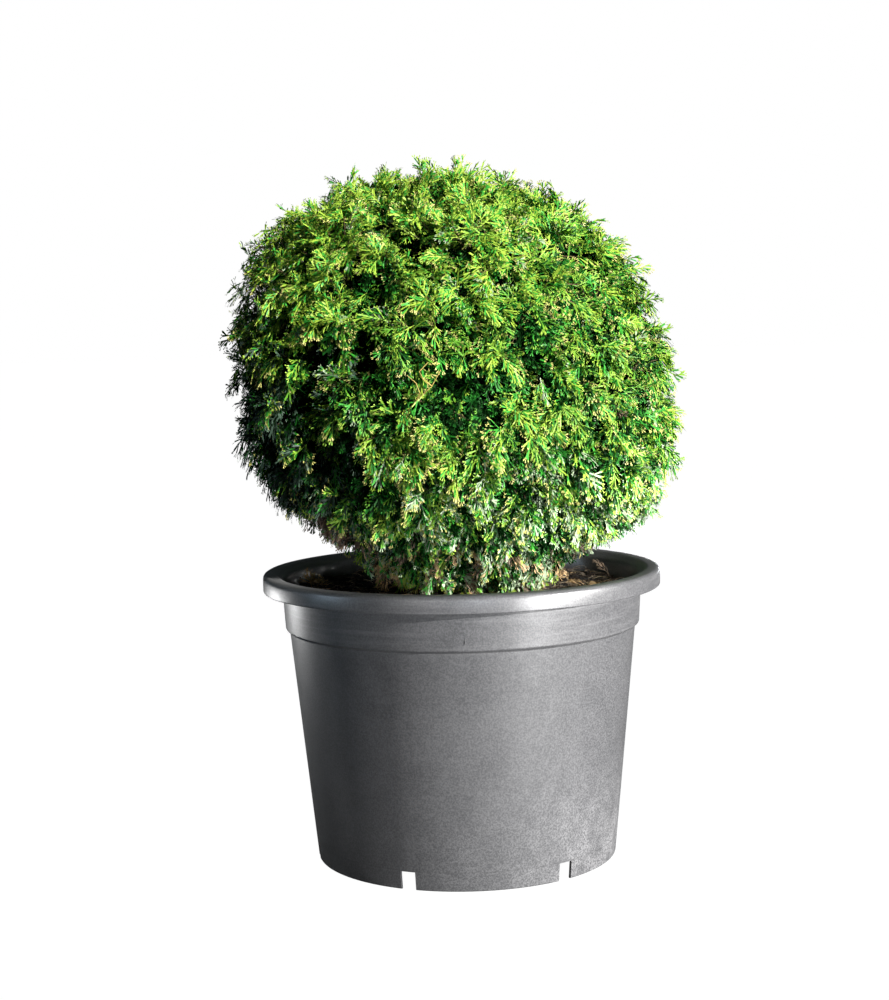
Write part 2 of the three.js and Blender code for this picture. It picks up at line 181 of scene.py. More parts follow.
def make_masses():
    draw = random_row(SEED)
    masses = []
    for ring, count, polar, turn, height in RINGS:
        for i in range(count):
            ending = "" if count == 1 else f"_{i + 1}"
            lean = polar + (0 if count == 1 else POLAR_JITTER * (2 * draw() - 1))
            around = turn + 360 / count * i + TURN_JITTER * (2 * draw() - 1)
            direction = direction_of(lean, around)
            masses.append({
                "ending": f"{ring}{ending}",
                "direction": direction,
                "anchor": crown_point(direction, ANCHOR_SHARE),
                "from": height + (FROM_STAGGER if i % 2 else 0),
                "on_trunk": ring in ("top", "skirt"),
            })
    return masses


# A piece of the scene from rows of corners, in millimetres, and triangles.
def mesh_piece(name, corners, triangles, material, smooth=False):
    mesh = bpy.data.meshes.new(name)
    mesh.vertices.add(len(corners))
    mesh.vertices.foreach_set("co", (corners * MM).astype(np.float32).ravel())
    mesh.loops.add(3 * len(triangles))
    mesh.loops.foreach_set("vertex_index", triangles.astype(np.int32).ravel())
    mesh.polygons.add(len(triangles))
    mesh.polygons.foreach_set("loop_start", np.arange(0, 3 * len(triangles), 3, dtype=np.int32))
    mesh.polygons.foreach_set("use_smooth", np.full(len(triangles), smooth))
    mesh.update(calc_edges=True)
    return dressed(bpy.data.objects.new(name, mesh), material)


def dressed(piece, material):
    if piece.name not in bpy.context.scene.collection.objects:
        bpy.context.scene.collection.objects.link(piece)
    piece.data.materials.clear()
    piece.data.materials.append(material)
    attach(piece, "root")
    return piece


# Several rows of corners and triangles as one
def joined(parts):
    corners, triangles, start = [], [], 0
    for part_corners, part_triangles in parts:
        corners.append(part_corners)
        triangles.append(part_triangles + start)
        start += len(part_corners)
    return np.concatenate(corners), np.concatenate(triangles)


# Node materials
class Nodes:
    def __init__(self, name):
        self.material = bpy.data.materials.new(name)
        self.material.use_nodes = True
        self.tree = self.material.node_tree
        self.shader = self.tree.nodes["Principled BSDF"]
        self.place = self.add("ShaderNodeTexCoord").outputs["Object"]

    # A socket takes another node's output, a number, or a colour without its fourth value
    def feed(self, socket, value):
        if isinstance(value, bpy.types.NodeSocket):
            self.tree.links.new(value, socket)
        elif isinstance(value, tuple):
            socket.default_value = (*value, 1)
        else:
            socket.default_value = value

    def surface(self, key, value):
        self.feed(self.shader.inputs[key], value)

    def add(self, kind, **values):
        node = self.tree.nodes.new(kind)
        for key, value in values.items():
            if key in node.inputs:
                self.feed(node.inputs[key], value)
            else:
                setattr(node, key, value)
        return node

    def noise(self, scale, detail=3, roughness=0.5, stretch=(1, 1, 1), distortion=0):
        mapping = self.add("ShaderNodeMapping", Vector=self.place)
        mapping.inputs["Scale"].default_value = stretch
        values = {"Scale": scale, "Detail": detail, "Roughness": roughness, "Distortion": distortion}
        return self.add("ShaderNodeTexNoise", Vector=mapping.outputs["Vector"], **values).outputs["Fac"]

    def ranged(self, value, low, high, new_low, new_high):
        limits = {"From Min": low, "From Max": high, "To Min": new_low, "To Max": new_high}
        return self.add("ShaderNodeMapRange", Value=value, **limits).outputs["Result"]

    def maths(self, operation, *values):
        node = self.add("ShaderNodeMath", operation=operation)
        for socket, value in zip(node.inputs, values):
            self.feed(socket, value)
        return node.outputs["Value"]

    def ramp(self, value, stops):
        node = self.add("ShaderNodeValToRGB", Fac=value)
        elements = node.color_ramp.elements
        while len(elements) < len(stops):
            elements.new(0.5)
        for element, (position, colour) in zip(elements, stops):
            element.position = position
            element.color = (*colour, 1)
        return node.outputs["Color"]

    def blended(self, share, first, second):
        node = self.add("ShaderNodeMix", data_type="RGBA")
        for number, value in ((0, share), (6, first), (7, second)):
            self.feed(node.inputs[number], value)
        return node.outputs[2]

    def bump(self, height, strength, distance):
        node = self.add("ShaderNodeBump", Strength=strength, Distance=distance, Height=height)
        self.surface("Normal", node.outputs["Normal"])


# Scaly foliage: the colour is plain, and the scales' gloss and bumps come from nodes.
def scale_material(name, colour, gloss):
    nodes = Nodes(name)
    nodes.surface("Base Color", colour)
    nodes.surface("Specular IOR Level", gloss)
    nodes.surface("Roughness", nodes.ranged(nodes.noise(60, 2), 0.3, 0.7, 0.42, 0.62))
    nodes.bump(nodes.noise(900, 2), 0.35, 0.0008)
    return nodes.material


def bark_material(name, dark, light):
    nodes = Nodes(name)
    ridges = nodes.noise(300, 6, 0.65, (1, 1, 0.18), 0.6)
    patches = nodes.noise(70, 4)
    colour = nodes.ramp(ridges, [(0.35, dark), (0.65, light)])
    nodes.surface("Base Color", nodes.blended(nodes.ranged(patches, 0.4, 0.7, 0, 0.5), colour, dark))
    nodes.surface("Roughness", nodes.ranged(ridges, 0.3, 0.7, 0.95, 0.75))
    nodes.bump(ridges, 0.8, 0.0015)
    return nodes.material


# Satin grey plastic: cloudy, blotched and finely mottled, more so on its right, where it is dusty low down.
# The rim and the collar are scuffed level, and there are fine scratches and a faint line round the foot.
PLASTIC_DARK = (0.062, 0.063, 0.066)
CLOUD_PALE = (0.112, 0.113, 0.117)
BLOTCH = (0.160, 0.161, 0.165)
GRAIN_PALE = (0.150, 0.151, 0.155)
DUST = (0.280, 0.280, 0.285)
SCUFF = (0.270, 0.270, 0.275)
SCRATCH = (0.050, 0.050, 0.052)
DUST_HEIGHTS = (0.01, 0.11)
SCUFF_HEIGHTS = (0.228, 0.240)
FOOT_LINE_HEIGHT = 0.019
PLASTIC_ROUGHNESS = (0.34, 0.40)
PLASTIC_GLOSS = 0.95


def plastic_material():
    nodes = Nodes("pot_plastic")
    place = nodes.add("ShaderNodeSeparateXYZ", Vector=nodes.place)
    clouds = nodes.noise(10, 6, 0.62, distortion=0.5)
    blotches = nodes.noise(42, 6, 0.7)
    grain = nodes.noise(620, 2, 0.7)
    scuffs = nodes.noise(30, 6, 0.7, (0.3, 0.3, 7))
    base = nodes.ramp(clouds, [(0.32, PLASTIC_DARK), (0.68, CLOUD_PALE)])
    colour = nodes.blended(nodes.ranged(blotches, 0.45, 0.72, 0, 0.3), base, BLOTCH)

    mottle = nodes.ramp(grain, [(0.40, PLASTIC_DARK), (0.62, GRAIN_PALE)])
    colour = nodes.blended(nodes.ranged(place.outputs["X"], -0.17, 0.17, 0.45, 0.70), colour, mottle)

    low = nodes.ranged(place.outputs["Z"], *DUST_HEIGHTS, 1, 0.05)
    right = nodes.ranged(place.outputs["X"], 0.03, 0.15, 0.1, 1)
    low_right = nodes.maths("MULTIPLY", low, right)
    dusty = nodes.maths("MULTIPLY", low_right, nodes.ranged(blotches, 0.36, 0.62, 0, 1))
    speckled = nodes.maths("MULTIPLY", dusty, nodes.ranged(grain, 0.42, 0.58, 0.1, 1))
    colour = nodes.blended(speckled, colour, DUST)

    high = nodes.ranged(place.outputs["Z"], *SCUFF_HEIGHTS, 0.12, 1)
    scuffed = nodes.maths("MULTIPLY", high, nodes.ranged(scuffs, 0.48, 0.72, 0, 0.36))
    colour = nodes.blended(scuffed, colour, SCUFF)

    for scale, shift in ((13, 0.53), (19, 0.47)):
        winding = nodes.noise(scale, 1, 0.5, (1, 1, 0.6), 1.5)
        off_line = nodes.maths("ABSOLUTE", nodes.maths("SUBTRACT", winding, shift))
        line = nodes.ranged(off_line, 0.0008, 0.0022, 0.5, 0)
        broken = nodes.maths("MULTIPLY", line, nodes.ranged(blotches, 0.52, 0.60, 0, 1))
        colour = nodes.blended(broken, colour, SCRATCH)

    off_foot = nodes.maths("ABSOLUTE", nodes.maths("SUBTRACT", place.outputs["Z"], FOOT_LINE_HEIGHT))
    foot_line = nodes.ranged(off_foot, 0.0002, 0.0007, 0.35, 0)
    nodes.surface("Base Color", nodes.blended(foot_line, colour, SCRATCH))
    nodes.surface("Roughness", nodes.ranged(blotches, 0.3, 0.7, *PLASTIC_ROUGHNESS))
    nodes.surface("Specular IOR Level", PLASTIC_GLOSS)
    nodes.bump(nodes.noise(360, 5, 0.65), 0.14, 0.0006)
    return nodes.material


CRUMB_COLOURS = [(0.3, (0.006, 0.005, 0.005)), (0.55, (0.024, 0.021, 0.019)), (0.8, (0.080, 0.070, 0.060))]


def soil_material():
    nodes = Nodes("potting_mix")
    crumbs = nodes.noise(170, 6, 0.7)
    nodes.surface("Base Color", nodes.ramp(crumbs, CRUMB_COLOURS))
    nodes.surface("Roughness", nodes.ranged(crumbs, 0.3, 0.7, 1.0, 0.85))
    nodes.bump(crumbs, 1.0, 0.004)
    return nodes.material


def litter_material(name, colour):
    nodes = Nodes(name)
    grain = nodes.noise(220, 3)
    darker = tuple(0.45 * value for value in colour)
    nodes.surface("Base Color", nodes.ramp(grain, [(0.3, darker), (0.6, colour)]))
    nodes.surface("Roughness", nodes.ranged(grain, 0.3, 0.7, 0.7, 0.9))
    nodes.bump(grain, 0.4, 0.0006)
    return nodes.material


# Tubes along rows of points, all with as many points and sides. radii has a row for each tube.
def tubes(paths, radii, sides):
    count, steps, _ = paths.shape
    along = unit(np.gradient(paths, axis=1))
    across = unit(np.cross(along, np.array([0.31, 0.95, 0.05])))
    normal = np.cross(across, along)
    angle = np.arange(sides) * 2 * math.pi / sides
    ring = across[:, :, None, :] * np.cos(angle)[:, None] + normal[:, :, None, :] * np.sin(angle)[:, None]
    corners = (paths[:, :, None, :] + ring * radii[:, :, None, None]).reshape(-1, 3)
    first = (np.arange(count) * steps * sides)[:, None, None]
    step = (np.arange(steps - 1) * sides)[None, :, None]
    side = np.arange(sides)[None, None, :]
    after = (side + 1) % sides
    a, b = first + step + side, first + step + after
    c, d = b + sides, a + sides
    halves = [np.stack(half, -1).reshape(-1, 3) for half in ([a, b, c], [a, c, d])]
    return corners, np.concatenate(halves)


# Curves from starts to ends, each drawn towards its bend
def curved(starts, bends, ends, share):
    return starts * (1 - share) ** 2 + 2 * bends * share * (1 - share) + ends * share**2


def arcs(starts, bends, ends, steps):
    return curved(starts[:, None], bends[:, None], ends[:, None], np.linspace(0, 1, steps)[None, :, None])


# A flat spray, one unit long along X: slender fingers leave its axis by turns on both sides and end in small
# forks, and each may have a second, blunt finger beside it. The triangles are in three rows, to be coloured
# apart: the bodies of the fingers, those of some fingers made darker as painted shade, and the tips.
SPINE = (-0.10, 0.78)
SPINE_HALF_WIDTH = 0.024
FIRST_FINGER = 0.10
FINGER_SPAN = 0.58
FINGER_LENGTH = 0.42
LENGTH_LOSS = 0.14
FINGER_SLANT = 44
SLANT_LOSS = 16
END_FINGER = (0.72, 0, 0, 0.24)
TILT = 0.6
TWIST = 2.4
FORK_ANGLE = math.radians(26)
FORK_LENGTH = 0.075
FORK_WIDTH = 0.7
BLUNT_TIP = 0.07
# The share of fingers made darker as painted shade
DARKER_SHARE = 0.46
OUTER_SHARE = 0.3
SECOND_LENGTH = 0.55


def spray_template(draw, shoots, width, beside):
    corners, body, darker, tips = [], [], [], []

    def finger(x, y, angle, length, forked):
        blades = darker if draw() < DARKER_SHARE else body
        along = np.array([math.cos(angle), math.sin(angle), TILT * (draw() - 0.5)])
        aside = np.array([-math.sin(angle), math.cos(angle), TWIST * (draw() - 0.5)]) * width
        foot = np.array([x, y, 0])
        end = foot + length * along
        start = len(corners)
        corners.extend([foot - 0.5 * aside, foot + 0.5 * aside, end - aside, end + aside])
        blades.extend([[start, start + 2, start + 3], [start, start + 3, start + 1]])
        if not forked:
            corners.append(end + BLUNT_TIP * along)
            tips.append([start + 2, start + 4, start + 3])
            return
        for side in (-1, 1):
            turn = angle + side * FORK_ANGLE * (0.7 + 0.7 * draw())
            prong = FORK_LENGTH + 0.05 * draw()
            prong = prong * np.array([math.cos(turn), math.sin(turn), 0.5 * (draw() - 0.5)])
            across = np.array([-math.sin(turn), math.cos(turn), 0.8 * (draw() - 0.5)]) * width * FORK_WIDTH
            start = len(corners)
            corners.extend([end - 0.08 * length * along, end + prong - across, end + prong + across])
            tips.append([start, start + 1, start + 2])

    for i in range(shoots):
        share = i / (shoots - 1)
        x = FIRST_FINGER + FINGER_SPAN * share + 0.05 * (draw() - 0.5)
        side = 1 if i % 2 else -1
        length = (FINGER_LENGTH - LENGTH_LOSS * share) * (0.75 + 0.45 * draw())
        angle = side * math.radians(FINGER_SLANT - SLANT_LOSS * share + 12 * (draw() - 0.5))
        finger(x, 0, angle, length, True)
        if beside:
            along = 0.35 + 0.2 * draw()
            outer = side if draw() < OUTER_SHARE else -side
            turn = angle + outer * math.radians(24 + 14 * draw())
            place = x + along * length * math.cos(angle), along * length * math.sin(angle)
            finger(*place, turn, SECOND_LENGTH * length, False)
    finger(*END_FINGER, True)
    start = len(corners)
    for x in SPINE:
        corners.extend([np.array([x, -SPINE_HALF_WIDTH, 0]), np.array([x, SPINE_HALF_WIDTH, 0])])
    body.extend([[start, start + 2, start + 3], [start, start + 3, start + 1]])
    return np.array(corners), [np.array(row, int).reshape(-1, 3) for row in (body, darker, tips)]


# A template set in at each place: along its heading, with its face towards its facing, cupped, curled and
# drooping
CUPPING = 0.9
CURL = 0.10


def placed(template, places, headings, facings, sizes, droops):
    sideways = unit(np.cross(facings, headings))
    normals = np.cross(headings, sideways)
    x, y, z = (template[None, :, k, None] for k in range(3))
    size = sizes[:, None, None]
    cupped = z - CUPPING * y**2 - CURL * x**2
    corners = places[:, None, :] + size * (
        x * headings[:, None, :] + y * sideways[:, None, :] + cupped * normals[:, None, :]
    )
    corners[:, :, 2] -= (size * droops[:, None, None] * np.clip(x, 0, None) ** 2)[:, :, 0]
    return corners


# A smooth line through points
def catmull_rom(points, count):
    points = np.array(points, float)
    before = 2 * points[0] - points[1]
    after = 2 * points[-1] - points[-2]
    rows = np.vstack([before, points, after])
    line = []
    for share in np.linspace(0, len(points) - 1, count):
        i = min(int(share), len(points) - 2)
        t = share - i
        a, b, c, d = rows[i:i + 4]
        bowed = (2 * a - 5 * b + 4 * c - d) * t**2
        turned = (3 * b - a - 3 * c + d) * t**3
        line.append(0.5 * (2 * b + (c - a) * t + bowed + turned))
    return np.array(line)


# The trunk's line, from a little below the soil's top
TRUNK_STEPS = 90

trunk_tip = [CROWN_CENTRE[0] + CROWN_LEAN * (TRUNK_TOP - CROWN_CENTRE[2]), CROWN_CENTRE[1], TRUNK_TOP]
trunk_points = [
    [0, 0, SOIL_TOP - 2],
    [-TRUNK_BOW / 2, TRUNK_BOW / 2, mixed(SOIL_TOP, TRUNK_TOP, 0.3)],
    [-TRUNK_BOW, 0, mixed(SOIL_TOP, TRUNK_TOP, 0.65)],
    trunk_tip,
]
trunk_line = catmull_rom(trunk_points, TRUNK_STEPS)


def trunk_point(height):
    share = (height - SOIL_TOP) / (TRUNK_TOP - SOIL_TOP)
    return trunk_line[int(round(share * (len(trunk_line) - 1)))]


masses = make_masses()
anchors = np.array([mass["anchor"] for mass in masses])
mass_directions = np.array([mass["direction"] for mass in masses])
rng = np.random.default_rng(SEED)

# The twigs are the source's, one to each target. Finer ones leave them for the crown's surface, gathered into
# tufts. The surface bulges over each mass and each twig and at the crown's shoulder, and sinks in at hollows.
FINE_COUNT = 2800
FINE_JITTER = 0.028
TUFTS = 1100
GATHERING = 0.45
TUFT_DEPTH = 0.07
TWIG_END_SHARE = 0.83
FINE_END_SHARE = 0.922
PATCH = math.sqrt(4 / FROND_COUNT)
MASS_PATCH = math.sqrt(4 / len(masses))
TWIG_BULGE = 0.045
MASS_BULGE = 0.035
HOLLOW_COUNT = 34
HOLLOW_DEPTH = 0.11
HOLLOW_RADIUS = 0.10
HOLLOW_JITTER = 0.12
# The directions of the darkest hollows on the front, where sprays sink in and are tinted darker as painted
# shade
FRONT_HOLLOWS = np.array([
    (-0.54, -0.55, 0.64), (-0.36, -0.88, 0.30), (-0.65, -0.73, 0.19),
    (-0.36, -0.93, 0.11), (-0.04, -0.97, 0.23), (0.11, -0.99, 0.09),
    (0.25, -0.92, -0.29), (-0.60, -0.78, -0.18), (-0.46, -0.82, -0.33),
])
SHOULDER_BULGE = 0.045
SHOULDER_RISE = 0.68
SHOULDER_SPREAD = 0.22
SHOULDER_LEAN = 1.2
TWIG_LIFT = (-0.02, 0.025)
FINE_STAGGER = 0.03
FINE_FOOT = (0.45, 0.85)
FINE_STEPS = 5
FINE_WANDER = 5

# Where the crown reaches further out, or its tints are lighter as painted light or darker as painted shade,
# each with its direction, its width, the reach added and the painted light added, which is painted shade
# where it is
# below zero: upper left, left, lower left, lower right and right
PLACES = (
    ((-0.55, -0.50, 0.67), 0.55, 0.01, 0.42),
    ((-0.95, -0.30, 0.00), 0.45, 0.00, -0.30),
    ((-0.96, -0.10, -0.25), 0.30, 0.05, -0.10),
    ((0.78, -0.25, -0.57), 0.35, 0.07, 0.00),
    ((0.80, -0.55, 0.15), 0.55, 0.00, -0.14),
)
REACH = 2
PAINTED_LIGHT_AND_SHADE = 3


def bell(values, width):
    return np.exp(-((values / width) ** 2))


def scatter(width, count):
    return rng.normal(0, width, (count, 3))


# Places strewn over a disc, but for its middle
def strewn(count, radius, inner):
    angle = rng.uniform(0, 2 * math.pi, count)
    away = radius * np.sqrt(rng.uniform(inner, 1, count))
    return away * np.cos(angle), away * np.sin(angle)


def added_at(directions, which):
    total = np.zeros(len(directions))
    for place in PLACES:
        total += place[which] * bell(distances(directions, place[0]), place[1])
    return total


twig_directions = spread(FROND_COUNT)
twig_ends = crown_points(twig_directions, TWIG_END_SHARE)
twig_mass = np.argmin(distances(twig_ends[:, None], anchors), axis=1)
twig_starts = anchors[twig_mass]
twig_lift = rng.uniform(*TWIG_LIFT, FROND_COUNT)

seeded_hollows = unit(spread(HOLLOW_COUNT) + scatter(HOLLOW_JITTER, HOLLOW_COUNT))
hollows = np.vstack([seeded_hollows, unit(FRONT_HOLLOWS)])
tuft_directions = unit(spread(TUFTS) + scatter(FINE_JITTER, TUFTS))
fine_directions = unit(spread(FINE_COUNT) + scatter(FINE_JITTER, FINE_COUNT))
fine_tuft = np.argmax(fine_directions @ tuft_directions.T, axis=1)
fine_directions = unit(mixed(fine_directions, tuft_directions[fine_tuft], GATHERING))
tuft_depth = TUFT_DEPTH * rng.random(TUFTS) ** 2
fine_rough_ends = crown_points(fine_directions, FINE_END_SHARE)
fine_twig = np.argmin(distances(fine_rough_ends[:, None], twig_ends), axis=1)
from_twig = distances(fine_directions, twig_directions[fine_twig]) / PATCH
from_mass = distances(fine_directions, mass_directions[twig_mass[fine_twig]]) / MASS_PATCH
from_hollow = distances(fine_directions[:, None], hollows).min(axis=1)
hollow_share = bell(from_hollow, HOLLOW_RADIUS)
fine_shares = FINE_END_SHARE + twig_lift[fine_twig]
fine_shares = fine_shares + rng.uniform(-FINE_STAGGER, FINE_STAGGER, FINE_COUNT) - tuft_depth[fine_tuft]
fine_shares -= TWIG_BULGE * from_twig**2 + MASS_BULGE * from_mass**2 + HOLLOW_DEPTH * hollow_share
on_shoulder = bell(fine_directions[:, 2] - SHOULDER_RISE, SHOULDER_SPREAD)
fine_shares += SHOULDER_BULGE * on_shoulder * (1 - SHOULDER_LEAN * fine_directions[:, 0])
fine_shares += added_at(fine_directions, REACH)
fine_ends = crown_points(fine_directions, fine_shares)

# The crown narrows towards the soil, less on its right, and keeps clear of the pot: heights, and the distance
# from the pot's axis that foliage may reach there.
UNDERSIDE = ((272, 90), (300, 103), (325, 138), (340, 160), (355, 184), (385, 212), (420, 400))
RIGHT_EXTRA = ((285, 2), (305, 14), (330, 34))
RIM_CLEARANCE = 5
WALL_CLEARANCE = 22
SOIL_CLEARANCE = 3


def inside_underside(points):
    away = np.hypot(points[:, 0], points[:, 1])
    extra = np.interp(points[:, 2], *zip(*RIGHT_EXTRA))
    limit = np.interp(points[:, 2], *zip(*UNDERSIDE)) + extra * np.clip(points[:, 0] / (away + 1), 0, 1)
    above_rim = points[:, 2] > POT_HEIGHT + RIM_CLEARANCE
    in_pot = (away < RIM_INNER_RADIUS - WALL_CLEARANCE) & (points[:, 2] > SOIL_TOP + SOIL_CLEARANCE)
    return (away < limit) & (above_rim | in_pot)


fine_kept = inside_underside(fine_ends)
fine_from = mixed(twig_starts[fine_twig], twig_ends[fine_twig], rng.uniform(*FINE_FOOT, FINE_COUNT)[:, None])
fine_bends = mixed(fine_from, fine_ends, 0.5) + scatter(FINE_WANDER, FINE_COUNT)
fine_paths = arcs(fine_from, fine_bends, fine_ends, FINE_STEPS)

# The sprays: several along each fine twig. They hang low on the crown and rise at its top.
SPRAY_SHARES = (0.42, 0.58, 0.72, 0.84, 0.93, 1.0)
SPRAY_LENGTHS = (15, 30)
LIFTS = ((-1, -0.7), (0, -0.65), (0.4, -0.4), (0.8, 0.15), (1, 0.4))
OUTWARDS_PULL = 0.60
AWAY_PULL = 0.45
END_SWING = 0.45
SIDE_SWING = 0.85
FOOT_JITTER = 0.05
FACING_SWING = 0.4
DROOPS = (0.05, 0.40)
TOP_DROOP = ((0.4, 1), (0.9, 0.2))

per_twig = len(SPRAY_SHARES)
count = FINE_COUNT * per_twig
t = np.tile(SPRAY_SHARES, FINE_COUNT)[:, None] + rng.uniform(-FOOT_JITTER, 0, (count, 1))
owner = np.repeat(np.arange(FINE_COUNT), per_twig)
rank = np.tile(np.arange(per_twig), FINE_COUNT)
spray_feet = curved(fine_from[owner], fine_bends[owner], fine_ends[owner], t)
outwards = unit((spray_feet - CROWN_CENTRE) / np.array([CROWN_RADIUS, CROWN_RADIUS, CROWN_RISE]))


def tangent(rows):
    return unit(rows - outwards * np.sum(rows * outwards, axis=1, keepdims=True))


away = tangent(fine_directions[owner] - twig_directions[fine_twig[owner]])
wander = tangent(scatter(1, count))
swing = np.where(rank == per_twig - 1, END_SWING, SIDE_SWING)[:, None]
lift = np.interp(outwards[:, 2], *zip(*LIFTS))[:, None] * np.array([0, 0, 1])
pull = OUTWARDS_PULL * outwards + AWAY_PULL * from_twig[owner][:, None] * away
headings = unit(pull + swing * wander + lift)
facings = unit(outwards + scatter(FACING_SWING, count))
sizes = rng.uniform(*SPRAY_LENGTHS, count)
droops = rng.uniform(*DROOPS, count) * np.interp(outwards[:, 2], *zip(*TOP_DROOP))
spray_tips = spray_feet + headings * sizes[:, None]
kept = fine_kept[owner] & inside_underside(spray_feet) & inside_underside(spray_tips)

# The dead patch under the crown on the left, where it is thin, and single dead sprays deep in its lower part
DEAD_PLACE = np.array([-128, -50, 338])
DEAD_RADIUS = 44
THIN_WIDTH = 1.3
THIN_SHARE = 0.5
DEAD_SHARE = 0.85
DEEP_DEAD_BELOW = 0.2
DEEP_DEAD_SHARE = 0.05

from_dead = distances(spray_feet, DEAD_PLACE) / DEAD_RADIUS
kept &= (from_dead > THIN_WIDTH) | (rng.random(count) < THIN_SHARE)
is_dead = (from_dead < 1) & (rng.random(count) < DEAD_SHARE)
is_dead |= (rank == 0) & (outwards[:, 2] < DEEP_DEAD_BELOW) & (rng.random(count) < DEEP_DEAD_SHARE)

# The tints, each with its colour and its gloss. The first seven run from the darkest, painted shade deep
# inside, to the new growth.
TINTS = {
    "deep": ((0.0015, 0.012, 0.0015), 0.05),
    "shade": ((0.004, 0.046, 0.005), 0.12),
    "leaf": ((0.012, 0.125, 0.011), 0.22),
    "emerald": ((0.030, 0.240, 0.022), 0.32),
    "fresh": ((0.090, 0.262, 0.018), 0.35),
    "bright": ((0.172, 0.335, 0.030), 0.35),
    "lime": ((0.245, 0.385, 0.036), 0.35),
    "tan": ((0.420, 0.400, 0.120), 0.35),
    "dead": ((0.105, 0.078, 0.055), 0.1),
    "straw": ((0.420, 0.290, 0.150), 0.2),
    # Pale, painted light, low on the crown and on its right
    "pale": ((0.260, 0.340, 0.210), 0.4),
    # A bluish painted shade, on the crown's shaded left
    "painted_shade_blue": ((0.048, 0.084, 0.058), 0.3),
    "brown": ((0.230, 0.160, 0.115), 0.2),
}
# The tints' numbers, from the last of those seven on
LIME, TAN, DEAD, STRAW, PALE, PAINTED_SHADE_BLUE, BROWN = range(6, len(TINTS))

# A spray's vigour, with painted shade: its tints are darker, painted shade, the further in its tip lies, the
# further from its twig's end it sits, and in the hollows. They vary by chance, by its twig and by its height,
# and the places above add painted light and painted shade, and the foot painted light.
TIP_LEVEL = 0.97
TIP_WEIGHT = 1.4
END_WEIGHT = 1.3
CHANCE_WEIGHT = 0.36
FINE_WEIGHT = 0.14
TWIG_WEIGHT = 0.08
HEIGHT_WEIGHT = 0.08
# Sprays in the hollows are tinted darker, painted shade
HOLLOW_WEIGHT = 0.6
# Sprays low on the crown are tinted lighter, painted light from below
FOOT_WEIGHT = 0.2
FOOT_HEIGHTS = (320, 370)

crown_edge = crown_points(outwards, 1)
tip_shares = distances(spray_tips, CROWN_CENTRE) / distances(crown_edge, CROWN_CENTRE)
twig_vigour = rng.random(FROND_COUNT)[fine_twig[owner]]
fine_vigour = rng.random(FINE_COUNT)[owner]
# Tips further in, and sprays further from their twig's end, get darker tints as painted shade
vigour_and_painted_shade = TIP_WEIGHT * (tip_shares - TIP_LEVEL) - END_WEIGHT * (1 - t[:, 0])
vigour_and_painted_shade = vigour_and_painted_shade + CHANCE_WEIGHT * rng.random(count)
vigour_and_painted_shade = vigour_and_painted_shade + FINE_WEIGHT * fine_vigour + TWIG_WEIGHT * twig_vigour
vigour_and_painted_shade += HEIGHT_WEIGHT * outwards[:, 2] - HOLLOW_WEIGHT * hollow_share[owner] + added_at(outwards, PAINTED_LIGHT_AND_SHADE)
vigour_and_painted_shade += FOOT_WEIGHT * np.interp(spray_feet[:, 2], FOOT_HEIGHTS, (1, 0))

# The tints are dealt out by vigour and painted shade: a spray's body has one, its darker fingers, painted
# shade, one that is three levels down, and its tips one that is fresher, or tan. Low on the crown, more so on
# its right, many bodies and tips are pale, painted light, and on its shaded left many take a bluish painted
# shade.
LEVEL_SHARES = (0.36, 0.44, 0.51, 0.62, 0.74, 0.88)
# How many levels down the darker fingers' painted shade goes
DARKER_BY = 3
FRESHEST_SHARE = 0.4
TAN_SHARE = 0.28
# Pale bodies and tips, painted light low on the crown and on its right, and a few anywhere
PALE_BELOW = ((310, 0.95), (430, 0))
PALE_ANYWHERE = 0.03
PALE_TIPS = 0.6
# A bluish painted shade on the crown's shaded left, not high up, on bodies and on tips
PAINTED_SHADE_LEFT = ((-0.85, 0.85), (-0.40, 0))
PAINTED_SHADE_BELOW = ((0.1, 1), (0.45, 0))
PAINTED_SHADE_TIPS = 0.7
WITHERED_BELOW = 330
WITHERED_SHARE = 0.22

levels = np.quantile(vigour_and_painted_shade[kept], LEVEL_SHARES)
body_tint = np.digitize(vigour_and_painted_shade, levels)
has_tan_tips = (rng.random(count) < TAN_SHARE) & (vigour_and_painted_shade > levels[2])
fresher = np.minimum(body_tint + 1 + (rng.random(count) < FRESHEST_SHARE), LIME)
darker_tint = np.maximum(body_tint - DARKER_BY, 0)
tints = np.stack([body_tint, darker_tint, np.where(has_tan_tips, TAN, fresher)], axis=1)
is_lit = body_tint > 1
pale_chance = np.interp(spray_feet[:, 2], *zip(*PALE_BELOW)) * (0.75 + 0.5 * outwards[:, 0]) + PALE_ANYWHERE
tints[(rng.random(count) < pale_chance) & is_lit, 0] = PALE
painted_shade_chance = np.interp(outwards[:, 0], *zip(*PAINTED_SHADE_LEFT)) * np.interp(outwards[:, 2], *zip(*PAINTED_SHADE_BELOW))
painted_shade_blue = rng.random(count) < painted_shade_chance
tints[painted_shade_blue & is_lit, 0] = PAINTED_SHADE_BLUE
tints[painted_shade_blue & (rng.random(count) < PAINTED_SHADE_TIPS), 2] = PAINTED_SHADE_BLUE
tints[(rng.random(count) < PALE_TIPS * pale_chance) & is_lit, 2] = PALE
tints[is_dead] = DEAD
tints[is_dead & (from_dead < 1)] = BROWN
withered = (spray_feet[:, 2] < WITHERED_BELOW) & (rng.random(count) < WITHERED_SHARE)
tints[withered] = np.where(rng.random((withered.sum(), 1)) < 0.5, DEAD, STRAW)

# The kinds of spray, each with six or seven pairs of fingers
KINDS = 12
FINGER_WIDTH = 0.029

templates = [spray_template(random_row(SEED + 7 * i), 6 + i % 2, FINGER_WIDTH, True) for i in range(KINDS)]
chosen = rng.integers(0, len(templates), count)

